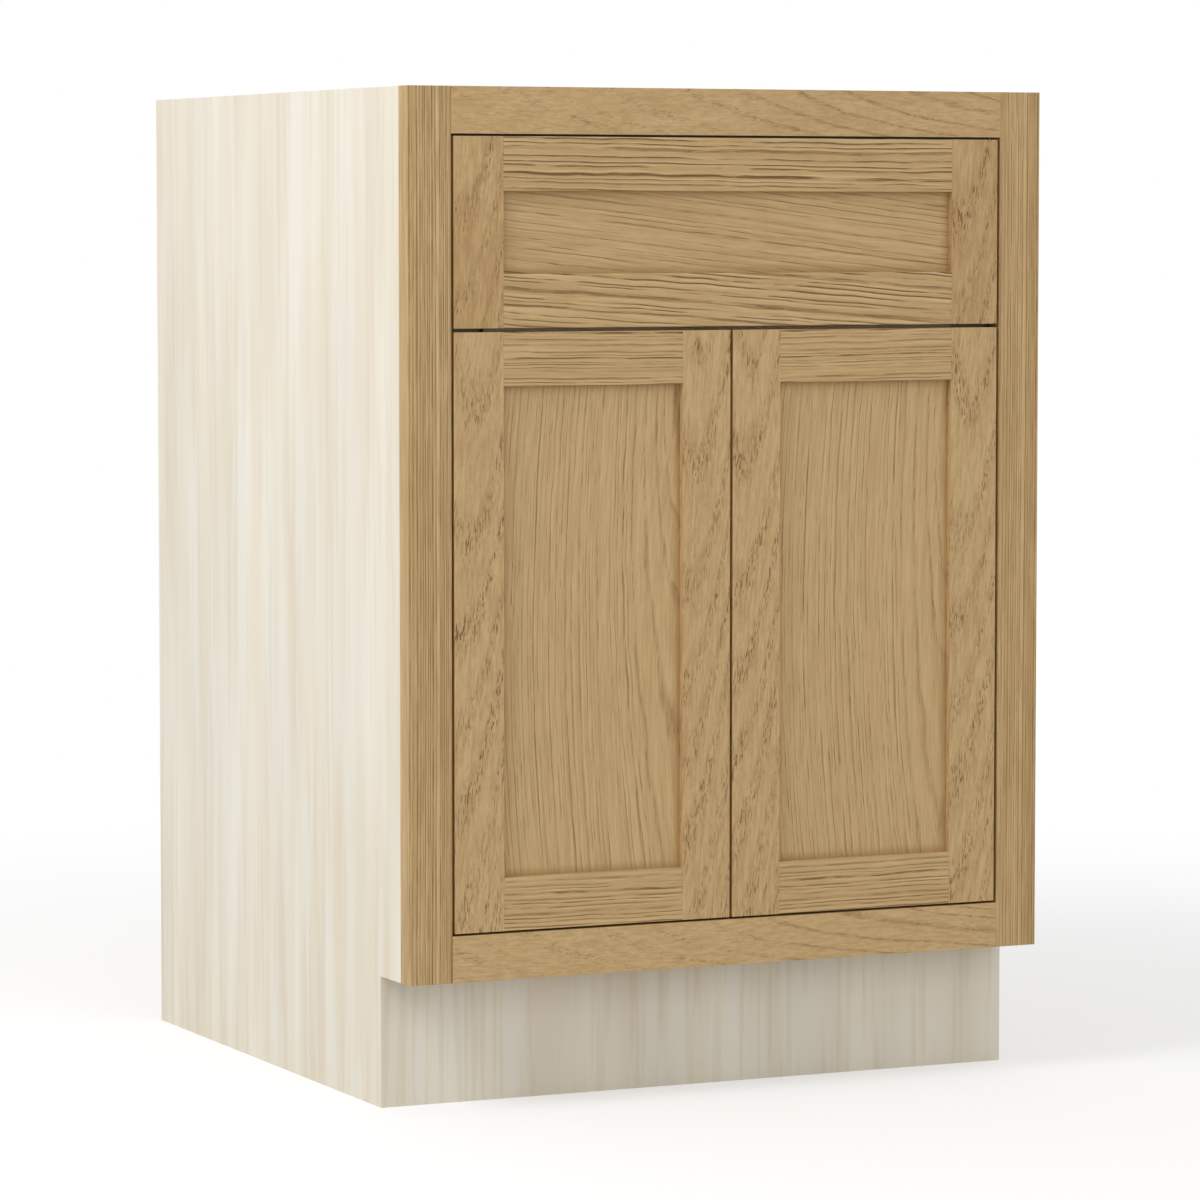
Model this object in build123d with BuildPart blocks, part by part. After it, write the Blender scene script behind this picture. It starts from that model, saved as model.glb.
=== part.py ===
from build123d import *
import os
from math import hypot, sqrt

# Kitchen base cabinet: a face frame with one inset drawer over a pair of inset framed doors.
# Millimetres. +X is right, +Y is back, +Z is up. The origin is on the floor at the centre of the footprint.
# Pieces that come in left and right hands are modelled on the left and mirrored.

os.makedirs("parts", exist_ok=True)

# Overall size
cabinet_width = 609.6
cabinet_height = 876.3
cabinet_depth = 609.6

# Case boards
side_thickness = 16.0
deck_thickness = 16.0
back_thickness = 12.7
housing_depth = 8.0
toe_height = 114.3
toe_recess = 64.0
toe_cover_thickness = 6.0
base_board_thickness = 16.0
hanging_rail_height = 90.0
hanging_rail_thickness = 19.0

# Top corner braces, each with a hole for a worktop screw
brace_leg = 90.0
brace_end = 14.0
brace_thickness = 12.0
brace_hole_radius = 2.5
brace_hole_inset = 30.0

# Face frame
frame_member = 40.0
frame_thickness = 19.05
tenon_length = 12.0
tenon_thickness = 8.0
tenon_shoulder = 6.0
edge_ease = 0.6

# Gaps round the inset fronts
side_gap = 2.4
top_gap = 2.0
middle_gap = 3.2
bottom_gap = 2.0
centre_gap = 2.4

# Framed fronts: drawer front and doors
drawer_front_height = 162.5
front_member = 46.0
panel_thickness = 6.0
panel_recess = 6.5
groove_depth = 7.0

# Mid rail behind the fronts: stop for the doors and front seat for the drawer runners
mid_rail_height = 38.0
mid_rail_thickness = 19.0
mid_rail_rise = 6.2
bumper_radius = 5.0
bumper_thickness = 1.5
bumper_drop = 14.0

# Shelf and its pins
shelf_thickness = 16.0
shelf_height = 240.0
shelf_setback = 60.0
shelf_side_gap = 1.0
shelf_rear_gap = 0.5
shelf_hole_radius = 2.5
shelf_hole_depth = 10.0
shelf_hole_pitch = 32.0
shelf_hole_count = 5
shelf_row_inset_front = 50.0
shelf_row_inset_rear = 60.0
pin_pad_length = 11.0
pin_pad_width = 10.0
pin_pad_thickness = 2.2

# Drawer box
drawer_side_gap = 5.0
drawer_rear_space = 45.0
drawer_lift = 16.0
drawer_headroom = 27.3
drawer_board = 16.0
drawer_bottom_thickness = 6.0
drawer_bottom_recess = 12.7
tail_count = 4
tail_root = 14.0
tail_flare = 2.0
tail_lap = 5.0
rim_ease = 1.5
front_screw_rise = 16.0
front_screw_drop = 26.0

# Undermount runners
runner_width = 34.0
runner_wall = 1.5
channel_height = 12.0
neck_width = 12.0
neck_gap = 1.0
middle_wall = 1.2
runner_play = 0.35
runner_side_gap = 1.0
runner_rear_gap = 3.0
notch_gap = 1.5
clip_length = 43.0
clip_height = 11.0
clip_width = 28.0
lever_length = 24.0
lever_width = 7.0
lever_slot = 2.0
bracket_width = 30.0
bracket_ledge = 25.0
bracket_ledge_thickness = 8.0
bracket_flange = 3.0
bracket_flange_overhang = 12.0

# Concealed hinges
hinge_inset = 80.0
pin_inset = 16.0
pin_radius = 1.25
pin_end_web = 1.5
knuckle_radius = 2.4
knuckle_play = 0.05
swing_clearance = 0.4
cup_edge_inset = 3.0
cup_groove_web = 1.0
cup_wall = 0.8
cup_floor_gap = 0.4
ear_half_width = 4.5
ear_gap = 0.3
flange_thickness = 1.2
flange_margin = 1.5
flange_wing_width = 14.0
flange_wing_height = 58.0
cup_screw_offset = 9.5
cup_screw_pitch = 45.0
arm_thickness = 2.0
arm_width = 16.0
arm_bend = 5.0
arm_clearance = 0.7
arm_side_gap = 0.6
arm_end_margin = 1.5
plate_setback = 2.0
plate_side_gap = 1.0
plate_height = 46.0
plate_corner = 4.0
plate_screw_pitch = 32.0

# Screws, and the number of sides on small round pieces and holes
small_sides = 8
head_radius = 3.2
head_top_radius = 2.4
head_height = 1.8
shank_radius = 1.6
wood_bite = 11.0
metal_bite = 6.0
countersink_radius = 2.9

# Joinery clearances
glue_gap = 0.1
panel_float = 0.5
fit_gap = 0.05

# Places worked out from the sizes above
half_width = cabinet_width / 2
front_y = -cabinet_depth / 2
rear_y = cabinet_depth / 2
frame_back_y = front_y + frame_thickness
back_inner_y = rear_y - back_thickness
side_inner_x = half_width - side_thickness
housed_x = side_inner_x + housing_depth - glue_gap
opening_x = half_width - frame_member
opening_bottom_z = toe_height + frame_member
opening_top_z = cabinet_height - frame_member
deck_top_z = opening_bottom_z
deck_bottom_z = deck_top_z - deck_thickness
toe_cover_y = front_y + toe_recess
toe_board_y = toe_cover_y + toe_cover_thickness
hanging_rail_y = back_inner_y - hanging_rail_thickness
tenon_front_y = front_y + (frame_thickness - tenon_thickness) / 2
tenon_back_y = tenon_front_y + tenon_thickness

drawer_front_top_z = opening_top_z - top_gap
drawer_front_bottom_z = drawer_front_top_z - drawer_front_height
door_top_z = drawer_front_bottom_z - middle_gap
door_bottom_z = opening_bottom_z + bottom_gap
front_edge_x = opening_x - side_gap
panel_y = front_y + panel_recess
groove_width = panel_thickness + 2 * glue_gap
tongue_length = groove_depth - glue_gap

mid_rail_top_z = drawer_front_bottom_z + mid_rail_rise
mid_rail_bottom_z = mid_rail_top_z - mid_rail_height
mid_rail_y = frame_back_y + bumper_thickness + glue_gap
mid_rail_back_y = mid_rail_y + mid_rail_thickness

shelf_front_y = front_y + shelf_setback
shelf_rear_y = back_inner_y - shelf_rear_gap
shelf_pin_radius = shelf_hole_radius - fit_gap
shelf_pin_z = deck_top_z + shelf_height
shelf_bottom_z = shelf_pin_z + shelf_pin_radius
shelf_row_ys = (shelf_front_y + shelf_row_inset_front, shelf_rear_y - shelf_row_inset_rear)

drawer_outer_x = opening_x - drawer_side_gap
drawer_inner_x = drawer_outer_x - drawer_board
drawer_rear_y = back_inner_y - drawer_rear_space
box_inner_front_y = frame_back_y + drawer_board
box_inner_rear_y = drawer_rear_y - drawer_board
box_bottom_z = mid_rail_top_z + drawer_lift
box_top_z = opening_top_z - drawer_headroom
box_height = box_top_z - box_bottom_z
floor_bottom_z = box_bottom_z + drawer_bottom_recess
floor_groove_top_z = floor_bottom_z + drawer_bottom_thickness + glue_gap
tail_pitch = box_height / tail_count
tail_centres = [box_bottom_z + tail_pitch * (index + 0.5) for index in range(tail_count)]

runner_x = drawer_inner_x - runner_side_gap - runner_width / 2
runner_screw_y = mid_rail_y + mid_rail_thickness / 2
channel_rear_y = drawer_rear_y + runner_rear_gap
slide_front_y = box_inner_front_y + clip_length + fit_gap
member_bottom_z = floor_bottom_z - channel_height
bracket_z = mid_rail_top_z - bracket_ledge_thickness

screw_hole_radius = shank_radius + fit_gap
front_screw_x = front_edge_x - front_member / 2 - head_radius
front_screw_zs = (floor_groove_top_z + front_screw_rise, box_top_z - front_screw_drop)

pin_depth = sqrt((pin_inset + side_gap - swing_clearance) ** 2 - pin_inset ** 2)
pin_x = -front_edge_x + pin_inset
pin_y = front_y + pin_depth
swing_radius = hypot(pin_inset, frame_thickness - pin_depth)
swing_inner_x = pin_x + swing_radius + arm_clearance
swing_back_y = pin_y + swing_radius + arm_clearance
cup_radius = (front_member - groove_depth - cup_edge_inset - cup_groove_web) / 2
cup_inner_radius = cup_radius - cup_wall
cup_x = -front_edge_x + cup_edge_inset + cup_radius
cup_depth = frame_thickness - (pin_depth - knuckle_radius - cup_floor_gap - cup_wall)
ear_z = arm_width / 2 + ear_gap
pin_half_length = sqrt(cup_inner_radius ** 2 - (cup_x - pin_x) ** 2) - pin_end_web
pocket_half = sqrt(cup_inner_radius ** 2 - (arm_width / 2) ** 2)
arm_turn_x = cup_x + pocket_half - arm_side_gap - arm_thickness / 2
arm_y = pin_y + swing_radius + arm_clearance + arm_thickness / 2
plate_width = frame_member - side_thickness - plate_setback - plate_side_gap
plate_x = -opening_x - plate_setback - plate_width / 2
plate_back_y = arm_y - arm_thickness / 2
arm_end_x = plate_x - plate_width / 2 + arm_end_margin
hinge_zs = (door_bottom_z + hinge_inset, door_top_z - hinge_inset)
plate_screw_spots = [(plate_x, z + side * plate_screw_pitch / 2) for z in hinge_zs for side in (-1, 1)]
arm_screw_spots = [(plate_x, z) for z in hinge_zs]
cup_screw_x = cup_x + cup_screw_offset
cup_screw_spots = [(cup_screw_x, z + side * cup_screw_pitch / 2) for z in hinge_zs for side in (-1, 1)]


def across(y):
    """Upright plane over X and Z at a given depth: a positive extrude runs to the front."""
    return Plane.XZ.offset(-y)


def outline(low, high, mode=Mode.ADD):
    """Rectangle between two opposite corners of the sketch in hand."""
    with Locations(((low[0] + high[0]) / 2, (low[1] + high[1]) / 2)):
        Rectangle(high[0] - low[0], high[1] - low[1], mode=mode)


def small_round(radius, mode=Mode.ADD):
    """Small circle, drawn with few sides, in the sketch in hand."""
    RegularPolygon(radius, small_sides, mode=mode)


def plate_outline(width, height):
    """Rectangle with its corners cut off, in the sketch in hand."""
    edge_x, edge_y = width / 2, height / 2
    cut_x, cut_y = edge_x - plate_corner, edge_y - plate_corner
    Polygon(
        (edge_x, -cut_y),
        (edge_x, cut_y),
        (cut_x, edge_y),
        (-cut_x, edge_y),
        (-edge_x, cut_y),
        (-edge_x, -cut_y),
        (-cut_x, -edge_y),
        (cut_x, -edge_y),
    )


def screw(seat_radius, top_radius, head_depth, length):
    """Screw along Z: its head stands on the origin, and its shank runs down from there."""
    with BuildPart() as piece:
        with BuildSketch():
            small_round(shank_radius)
        extrude(amount=-length)
        with BuildSketch():
            small_round(seat_radius)
        with BuildSketch(Plane.XY.offset(head_depth)):
            small_round(top_radius)
        loft()
    return piece.part


def pan_screw(length):
    """Screw with a pan head."""
    return screw(head_radius, head_top_radius, head_height, length)


def facing(outward, spots):
    """Planes at the given spots, whose Z runs outward."""
    return [Plane(origin=spot, z_dir=outward) for spot in spots]


def save(piece, name):
    """Labels a finished piece and writes it."""
    piece.part.label = name
    export_step(piece.part, f"parts/{name}.step")


def save_pair(left_piece, name):
    """Writes a left-hand piece and its mirror twin."""
    save(left_piece, f"left_{name}")
    with BuildPart() as right_piece:
        mirror(left_piece.part, about=Plane.YZ)
    save(right_piece, f"right_{name}")


# Case

with BuildPart() as side_panel:
    with BuildSketch(Plane.YZ.offset(-half_width)):
        with BuildLine():
            Polyline(
                (rear_y, 0),
                (toe_board_y, 0),
                (toe_board_y, toe_height),
                (frame_back_y, toe_height),
                (frame_back_y, cabinet_height),
                (rear_y, cabinet_height),
                close=True,
            )
        make_face()
    extrude(amount=side_thickness)
    with BuildSketch(Plane.YZ.offset(-side_inner_x)):
        outline((frame_back_y, deck_bottom_z), (back_inner_y, deck_top_z + glue_gap))
        outline((mid_rail_y, mid_rail_bottom_z), (mid_rail_back_y + glue_gap, mid_rail_top_z + glue_gap))
        outline((back_inner_y, deck_bottom_z), (rear_y, cabinet_height))
    extrude(amount=-housing_depth, mode=Mode.SUBTRACT)
    with BuildSketch(Plane.YZ.offset(-side_inner_x)):
        for row_y in shelf_row_ys:
            with Locations((row_y, shelf_pin_z)):
                with GridLocations(0, shelf_hole_pitch, 1, shelf_hole_count):
                    small_round(shelf_hole_radius)
    extrude(amount=-shelf_hole_depth, mode=Mode.SUBTRACT)
save_pair(side_panel, "side_panel")

with BuildPart() as deck_panel:
    with BuildSketch(Plane.XY.offset(deck_bottom_z)):
        outline((-housed_x, frame_back_y), (housed_x, back_inner_y))
    extrude(amount=deck_thickness)
save(deck_panel, "deck_panel")

with BuildPart() as back_panel:
    with BuildSketch(across(rear_y)):
        outline((-housed_x, deck_bottom_z), (housed_x, cabinet_height))
    extrude(amount=back_thickness)
save(back_panel, "back_panel")

with BuildPart() as hanging_rail:
    with BuildSketch(across(back_inner_y)):
        outline((-side_inner_x, cabinet_height - hanging_rail_height), (side_inner_x, cabinet_height))
    extrude(amount=hanging_rail_thickness)
save(hanging_rail, "hanging_rail")

with BuildPart() as rear_base_rail:
    with BuildSketch(across(rear_y)):
        outline((-side_inner_x, 0), (side_inner_x, deck_bottom_z))
    extrude(amount=base_board_thickness)
save(rear_base_rail, "rear_base_rail")

with BuildPart() as toe_kick_board:
    with BuildSketch(across(toe_board_y)):
        outline((-side_inner_x, 0), (side_inner_x, deck_bottom_z))
    extrude(amount=-base_board_thickness)
save(toe_kick_board, "toe_kick_board")

with BuildPart() as toe_kick_cover:
    with BuildSketch(across(toe_cover_y)):
        outline((-half_width, 0), (half_width, toe_height))
    extrude(amount=-toe_cover_thickness)
save(toe_kick_cover, "toe_kick_cover")

with BuildPart() as corner_braces:
    for corner_y, inward in ((frame_back_y, 1), (hanging_rail_y, -1)):
        with BuildSketch(Plane.XY.offset(cabinet_height - brace_thickness)):
            with BuildLine():
                Polyline(
                    (-side_inner_x, corner_y),
                    (-side_inner_x + brace_leg, corner_y),
                    (-side_inner_x + brace_leg, corner_y + inward * brace_end),
                    (-side_inner_x + brace_end, corner_y + inward * brace_leg),
                    (-side_inner_x, corner_y + inward * brace_leg),
                    close=True,
                )
            make_face()
            with Locations((-side_inner_x + brace_hole_inset, corner_y + inward * brace_hole_inset)):
                Circle(brace_hole_radius, mode=Mode.SUBTRACT)
        extrude(amount=brace_thickness)
    mirror(about=Plane.YZ)
save(corner_braces, "corner_braces")

# Face frame, with stub tenons on the rails

with BuildPart() as frame_stile:
    with BuildSketch(Plane.XY.offset(toe_height)):
        outline((-half_width, front_y), (-opening_x, frame_back_y))
    extrude(amount=cabinet_height - toe_height)
    with BuildSketch(Plane.YZ.offset(-opening_x)):
        for rail_z in (toe_height, opening_top_z):
            mortise_low_z = rail_z + tenon_shoulder - glue_gap
            mortise_high_z = rail_z + frame_member - tenon_shoulder + glue_gap
            outline((tenon_front_y - glue_gap, mortise_low_z), (tenon_back_y + glue_gap, mortise_high_z))
    extrude(amount=-tenon_length - glue_gap, mode=Mode.SUBTRACT)
    with BuildSketch(across(frame_back_y)):
        with Locations(plate_screw_spots):
            small_round(screw_hole_radius)
    extrude(amount=wood_bite + glue_gap, mode=Mode.SUBTRACT)
    outer_edge = frame_stile.edges().filter_by(Axis.Z).group_by(Axis.Y)[0].sort_by(Axis.X)[0]
    chamfer(outer_edge, edge_ease)
save_pair(frame_stile, "frame_stile")

for rail_name, rail_z in (("frame_bottom_rail", toe_height), ("frame_top_rail", opening_top_z)):
    with BuildPart() as frame_rail:
        with BuildSketch(Plane.YZ):
            outline((front_y, rail_z), (frame_back_y, rail_z + frame_member))
        extrude(amount=opening_x, both=True)
        with BuildSketch(Plane.YZ):
            tenon_low_z = rail_z + tenon_shoulder
            tenon_high_z = rail_z + frame_member - tenon_shoulder
            outline((tenon_front_y, tenon_low_z), (tenon_back_y, tenon_high_z))
        extrude(amount=opening_x + tenon_length, both=True)
    save(frame_rail, rail_name)

# The mid rail is relieved at both ends, where the hinge edges of the doors swing back

with BuildPart() as mid_rail:
    with BuildSketch(Plane.YZ):
        outline((mid_rail_y, mid_rail_bottom_z), (mid_rail_back_y, mid_rail_top_z))
    extrude(amount=housed_x, both=True)
    with BuildSketch(Plane.XY.offset(mid_rail_bottom_z)):
        outline((-housed_x, mid_rail_y), (swing_inner_x, swing_back_y))
        outline((-swing_inner_x, mid_rail_y), (housed_x, swing_back_y))
    extrude(amount=drawer_front_bottom_z - mid_rail_bottom_z, mode=Mode.SUBTRACT)
    with BuildSketch(Plane.XY.offset(mid_rail_top_z)):
        with Locations((-runner_x, runner_screw_y), (runner_x, runner_screw_y)):
            small_round(screw_hole_radius)
    extrude(amount=-wood_bite - glue_gap, mode=Mode.SUBTRACT)
save(mid_rail, "mid_rail")

# Adjustable shelf on four pins

with BuildPart() as shelf:
    with BuildSketch(Plane.XY.offset(shelf_bottom_z)):
        shelf_x = side_inner_x - shelf_side_gap
        outline((-shelf_x, shelf_front_y), (shelf_x, shelf_rear_y))
    extrude(amount=shelf_thickness)
    chamfer(shelf.edges().filter_by(Axis.X).group_by(Axis.Y)[0], edge_ease)
save(shelf, "shelf")

with BuildPart() as shelf_pins:
    for row_y in shelf_row_ys:
        with BuildSketch(Plane.YZ.offset(-side_inner_x)):
            with Locations((row_y, shelf_pin_z)):
                small_round(shelf_pin_radius)
        extrude(amount=-shelf_hole_depth + glue_gap)
        with BuildSketch(Plane.YZ.offset(-side_inner_x)):
            with Locations((row_y, shelf_pin_z)):
                small_round(shelf_pin_radius)
            pad_half = pin_pad_width / 2
            pad_bottom_z = shelf_bottom_z - pin_pad_thickness
            outline((row_y - pad_half, pad_bottom_z), (row_y + pad_half, shelf_bottom_z))
        extrude(amount=pin_pad_length)
    mirror(about=Plane.YZ)
save(shelf_pins, "shelf_pins")


# Framed fronts: two grooved stiles, two rails with stub tongues, and a panel that floats in the grooves

def front_stile(outer_x, inner_x, low_z, high_z, bores=False):
    """Stile of a framed front, grooved along its inner edge, with hinge bores on request."""
    toward_edge = 1 if inner_x < outer_x else -1
    with BuildPart() as stile:
        with BuildSketch(Plane.XY.offset(low_z)):
            outline((min(outer_x, inner_x), front_y), (max(outer_x, inner_x), frame_back_y))
            groove_x = inner_x + toward_edge * groove_depth
            groove_low = (min(inner_x, groove_x), panel_y - glue_gap)
            groove_high = (max(inner_x, groove_x), panel_y - glue_gap + groove_width)
            outline(groove_low, groove_high, mode=Mode.SUBTRACT)
        extrude(amount=high_z - low_z)
        long_edges = stile.edges().filter_by(Axis.Z).group_by(Axis.Y)[0].sort_by(Axis.X)
        chamfer(long_edges[-1] if toward_edge > 0 else long_edges[0], edge_ease)
        if bores:
            with BuildSketch(across(frame_back_y)):
                with Locations([(cup_x, z) for z in hinge_zs]):
                    Circle(cup_radius + fit_gap)
            extrude(amount=cup_depth + fit_gap, mode=Mode.SUBTRACT)
            with BuildSketch(across(frame_back_y)):
                with Locations(cup_screw_spots):
                    small_round(screw_hole_radius)
            extrude(amount=wood_bite, mode=Mode.SUBTRACT)
    return stile


def front_rail(low_x, high_x, outer_z, inner_z):
    """Rail between the stiles of a framed front, grooved along its inner edge, with a tongue at each end."""
    toward_edge = 1 if inner_z < outer_z else -1
    groove_z = inner_z + toward_edge * groove_depth
    with BuildPart() as rail:
        with BuildSketch(Plane.YZ.offset(low_x)):
            outline((front_y, min(outer_z, inner_z)), (frame_back_y, max(outer_z, inner_z)))
        extrude(amount=high_x - low_x)
        outer_edges = rail.edges().filter_by(Axis.X).group_by(Axis.Y)[0].sort_by(Axis.Z)
        chamfer(outer_edges[-1] if toward_edge > 0 else outer_edges[0], edge_ease)
        with BuildSketch(Plane.YZ.offset(low_x - tongue_length)):
            outline((panel_y, min(outer_z, inner_z)), (panel_y + panel_thickness, max(outer_z, inner_z)))
        extrude(amount=high_x - low_x + 2 * tongue_length)
        with BuildSketch(Plane.YZ.offset(low_x - tongue_length)):
            groove_low = (panel_y - glue_gap, min(inner_z, groove_z))
            groove_high = (panel_y - glue_gap + groove_width, max(inner_z, groove_z))
            outline(groove_low, groove_high)
        extrude(amount=high_x - low_x + 2 * tongue_length, mode=Mode.SUBTRACT)
    return rail


def front_panel(low_x, high_x, low_z, high_z):
    """Flat panel whose edges lie in the grooves round the given frame opening."""
    reach = groove_depth - panel_float
    with BuildPart() as panel:
        with BuildSketch(across(panel_y)):
            outline((low_x - reach, low_z - reach), (high_x + reach, high_z + reach))
        extrude(amount=-panel_thickness)
    return panel


drawer_sight_x = front_edge_x - front_member
drawer_sight_low_z = drawer_front_bottom_z + front_member
drawer_sight_high_z = drawer_front_top_z - front_member

with BuildPart() as drawer_front_stile:
    add(front_stile(-front_edge_x, -drawer_sight_x, drawer_front_bottom_z, drawer_front_top_z).part)
    with BuildSketch(across(frame_back_y)):
        with Locations([(-front_screw_x, z) for z in front_screw_zs]):
            small_round(screw_hole_radius)
    extrude(amount=wood_bite + glue_gap, mode=Mode.SUBTRACT)
save_pair(drawer_front_stile, "drawer_front_stile")

drawer_top_rail = front_rail(-drawer_sight_x, drawer_sight_x, drawer_front_top_z, drawer_sight_high_z)
save(drawer_top_rail, "drawer_front_top_rail")
drawer_bottom_rail = front_rail(-drawer_sight_x, drawer_sight_x, drawer_front_bottom_z, drawer_sight_low_z)
save(drawer_bottom_rail, "drawer_front_bottom_rail")
drawer_panel = front_panel(-drawer_sight_x, drawer_sight_x, drawer_sight_low_z, drawer_sight_high_z)
save(drawer_panel, "drawer_front_panel")

door_meeting_x = -centre_gap / 2
door_sight_low_x = -front_edge_x + front_member
door_sight_high_x = door_meeting_x - front_member
door_sight_low_z = door_bottom_z + front_member
door_sight_high_z = door_top_z - front_member

hinge_stile = front_stile(-front_edge_x, door_sight_low_x, door_bottom_z, door_top_z, bores=True)
save_pair(hinge_stile, "door_hinge_stile")
meeting_stile = front_stile(door_meeting_x, door_sight_high_x, door_bottom_z, door_top_z)
save_pair(meeting_stile, "door_meeting_stile")
door_top_rail = front_rail(door_sight_low_x, door_sight_high_x, door_top_z, door_sight_high_z)
save_pair(door_top_rail, "door_top_rail")
door_bottom_rail = front_rail(door_sight_low_x, door_sight_high_x, door_bottom_z, door_sight_low_z)
save_pair(door_bottom_rail, "door_bottom_rail")
door_panel = front_panel(door_sight_low_x, door_sight_high_x, door_sight_low_z, door_sight_high_z)
save_pair(door_panel, "door_panel")

with BuildPart() as door_bumper:
    with BuildSketch(across(frame_back_y)):
        with Locations((door_meeting_x - front_member / 2, door_top_z - bumper_drop)):
            small_round(bumper_radius)
    extrude(amount=-bumper_thickness)
save_pair(door_bumper, "door_bumper")

# Drawer box, joined at its corners with half-blind dovetails: tails on the sides, sockets in the ends


def tail_corners(centre_z, root_y, tip_y, gap):
    """Corners of one dovetail in the plane of a drawer side, grown by a gap for its socket."""
    half_root = tail_root / 2 + gap
    half_tip = half_root + tail_flare
    return [
        (root_y, centre_z - half_root),
        (tip_y, centre_z - half_tip),
        (tip_y, centre_z + half_tip),
        (root_y, centre_z + half_root),
    ]


tail_tip_front_y = frame_back_y + tail_lap
tail_tip_rear_y = drawer_rear_y - tail_lap
tail_reaches = ((box_inner_front_y, tail_tip_front_y), (box_inner_rear_y, tail_tip_rear_y))
floor_x = drawer_inner_x + groove_depth - panel_float

with BuildPart() as drawer_side:
    with BuildSketch(Plane.YZ.offset(-drawer_outer_x)):
        outline((box_inner_front_y, box_bottom_z), (box_inner_rear_y, box_top_z))
        for centre_z in tail_centres:
            for root_y, tip_y in tail_reaches:
                with BuildLine():
                    Polyline(*tail_corners(centre_z, root_y, tip_y, 0), close=True)
                make_face()
    extrude(amount=drawer_board)
    with BuildSketch(Plane.YZ.offset(-drawer_inner_x)):
        outline((tail_tip_front_y, floor_bottom_z), (tail_tip_rear_y, floor_groove_top_z))
    extrude(amount=-groove_depth, mode=Mode.SUBTRACT)
    chamfer(drawer_side.edges().filter_by(Axis.Y).group_by(Axis.Z)[-1], rim_ease)
save_pair(drawer_side, "drawer_side")

with BuildPart() as drawer_box_front:
    with BuildSketch(across(box_inner_front_y)):
        outline((-drawer_outer_x, box_bottom_z), (drawer_outer_x, box_top_z))
    extrude(amount=drawer_board)
    for end_x in (-drawer_outer_x, drawer_inner_x):
        with BuildSketch(Plane.YZ.offset(end_x)):
            for centre_z in tail_centres:
                with BuildLine():
                    Polyline(
                        *tail_corners(centre_z, box_inner_front_y, tail_tip_front_y - glue_gap, glue_gap),
                        close=True,
                    )
                make_face()
        extrude(amount=drawer_board, mode=Mode.SUBTRACT)
    with BuildSketch(across(box_inner_front_y)):
        outline((-drawer_outer_x, floor_bottom_z), (drawer_outer_x, floor_groove_top_z))
    extrude(amount=groove_depth, mode=Mode.SUBTRACT)
    with BuildSketch(across(box_inner_front_y)):
        with Locations([(side * front_screw_x, z) for z in front_screw_zs for side in (-1, 1)]):
            small_round(screw_hole_radius)
    extrude(amount=drawer_board, mode=Mode.SUBTRACT)
    chamfer(drawer_box_front.edges().filter_by(Axis.X).group_by(Axis.Z)[-1].sort_by(Axis.Y)[-1], rim_ease)
save(drawer_box_front, "drawer_box_front")

with BuildPart() as drawer_box_back:
    with BuildSketch(across(drawer_rear_y)):
        outline((-drawer_outer_x, box_bottom_z), (drawer_outer_x, box_top_z))
        for side in (-1, 1):
            notch_x = side * (runner_x - runner_width / 2 - notch_gap)
            notch_edges = sorted((notch_x, side * drawer_inner_x))
            outline((notch_edges[0], box_bottom_z), (notch_edges[1], floor_bottom_z), mode=Mode.SUBTRACT)
    extrude(amount=drawer_board)
    for end_x in (-drawer_outer_x, drawer_inner_x):
        with BuildSketch(Plane.YZ.offset(end_x)):
            for centre_z in tail_centres:
                with BuildLine():
                    Polyline(
                        *tail_corners(centre_z, box_inner_rear_y, tail_tip_rear_y + glue_gap, glue_gap),
                        close=True,
                    )
                make_face()
        extrude(amount=drawer_board, mode=Mode.SUBTRACT)
    with BuildSketch(across(box_inner_rear_y)):
        outline((-drawer_outer_x, floor_bottom_z), (drawer_outer_x, floor_groove_top_z))
    extrude(amount=-groove_depth, mode=Mode.SUBTRACT)
    chamfer(drawer_box_back.edges().filter_by(Axis.X).group_by(Axis.Z)[-1], rim_ease)
save(drawer_box_back, "drawer_box_back")

with BuildPart() as drawer_bottom:
    floor_reach = groove_depth - panel_float
    with BuildSketch(Plane.XY.offset(floor_bottom_z)):
        outline((-floor_x, box_inner_front_y - floor_reach), (floor_x, box_inner_rear_y + floor_reach))
    extrude(amount=drawer_bottom_thickness)
save(drawer_bottom, "drawer_bottom")

front_screw = pan_screw(drawer_board + wood_bite)
front_screw_spots = [(-front_screw_x, box_inner_front_y, z) for z in front_screw_zs]

with BuildPart() as drawer_front_screws:
    with Locations(facing((0, 1, 0), front_screw_spots)):
        add(front_screw)
    mirror(about=Plane.YZ)
save(drawer_front_screws, "drawer_front_screws")

# Undermount runners: a lipped channel on the case, a waisted middle member, and a channel under the drawer

channel_low_x = -runner_x - runner_width / 2
channel_high_x = -runner_x + runner_width / 2
lip_slot_half = neck_width / 2 + neck_gap

with BuildPart() as runner_channel:
    with BuildSketch(across(channel_rear_y)):
        channel_top_z = mid_rail_top_z + channel_height
        outline((channel_low_x, mid_rail_top_z), (channel_high_x, channel_top_z))
        hollow_low = (channel_low_x + runner_wall, mid_rail_top_z + runner_wall)
        hollow_high = (channel_high_x - runner_wall, channel_top_z - runner_wall)
        outline(hollow_low, hollow_high, mode=Mode.SUBTRACT)
        slot_low = (-runner_x - lip_slot_half, channel_top_z - runner_wall)
        outline(slot_low, (-runner_x + lip_slot_half, channel_top_z), mode=Mode.SUBTRACT)
    extrude(amount=channel_rear_y - mid_rail_y)
    with BuildSketch(Plane.XY.offset(mid_rail_top_z)):
        with Locations((-runner_x, runner_screw_y)):
            small_round(screw_hole_radius)
    with BuildSketch(Plane.XY.offset(mid_rail_top_z + runner_wall)):
        with Locations((-runner_x, runner_screw_y)):
            small_round(countersink_radius + fit_gap)
    loft(mode=Mode.SUBTRACT)
save_pair(runner_channel, "runner_channel")

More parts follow.
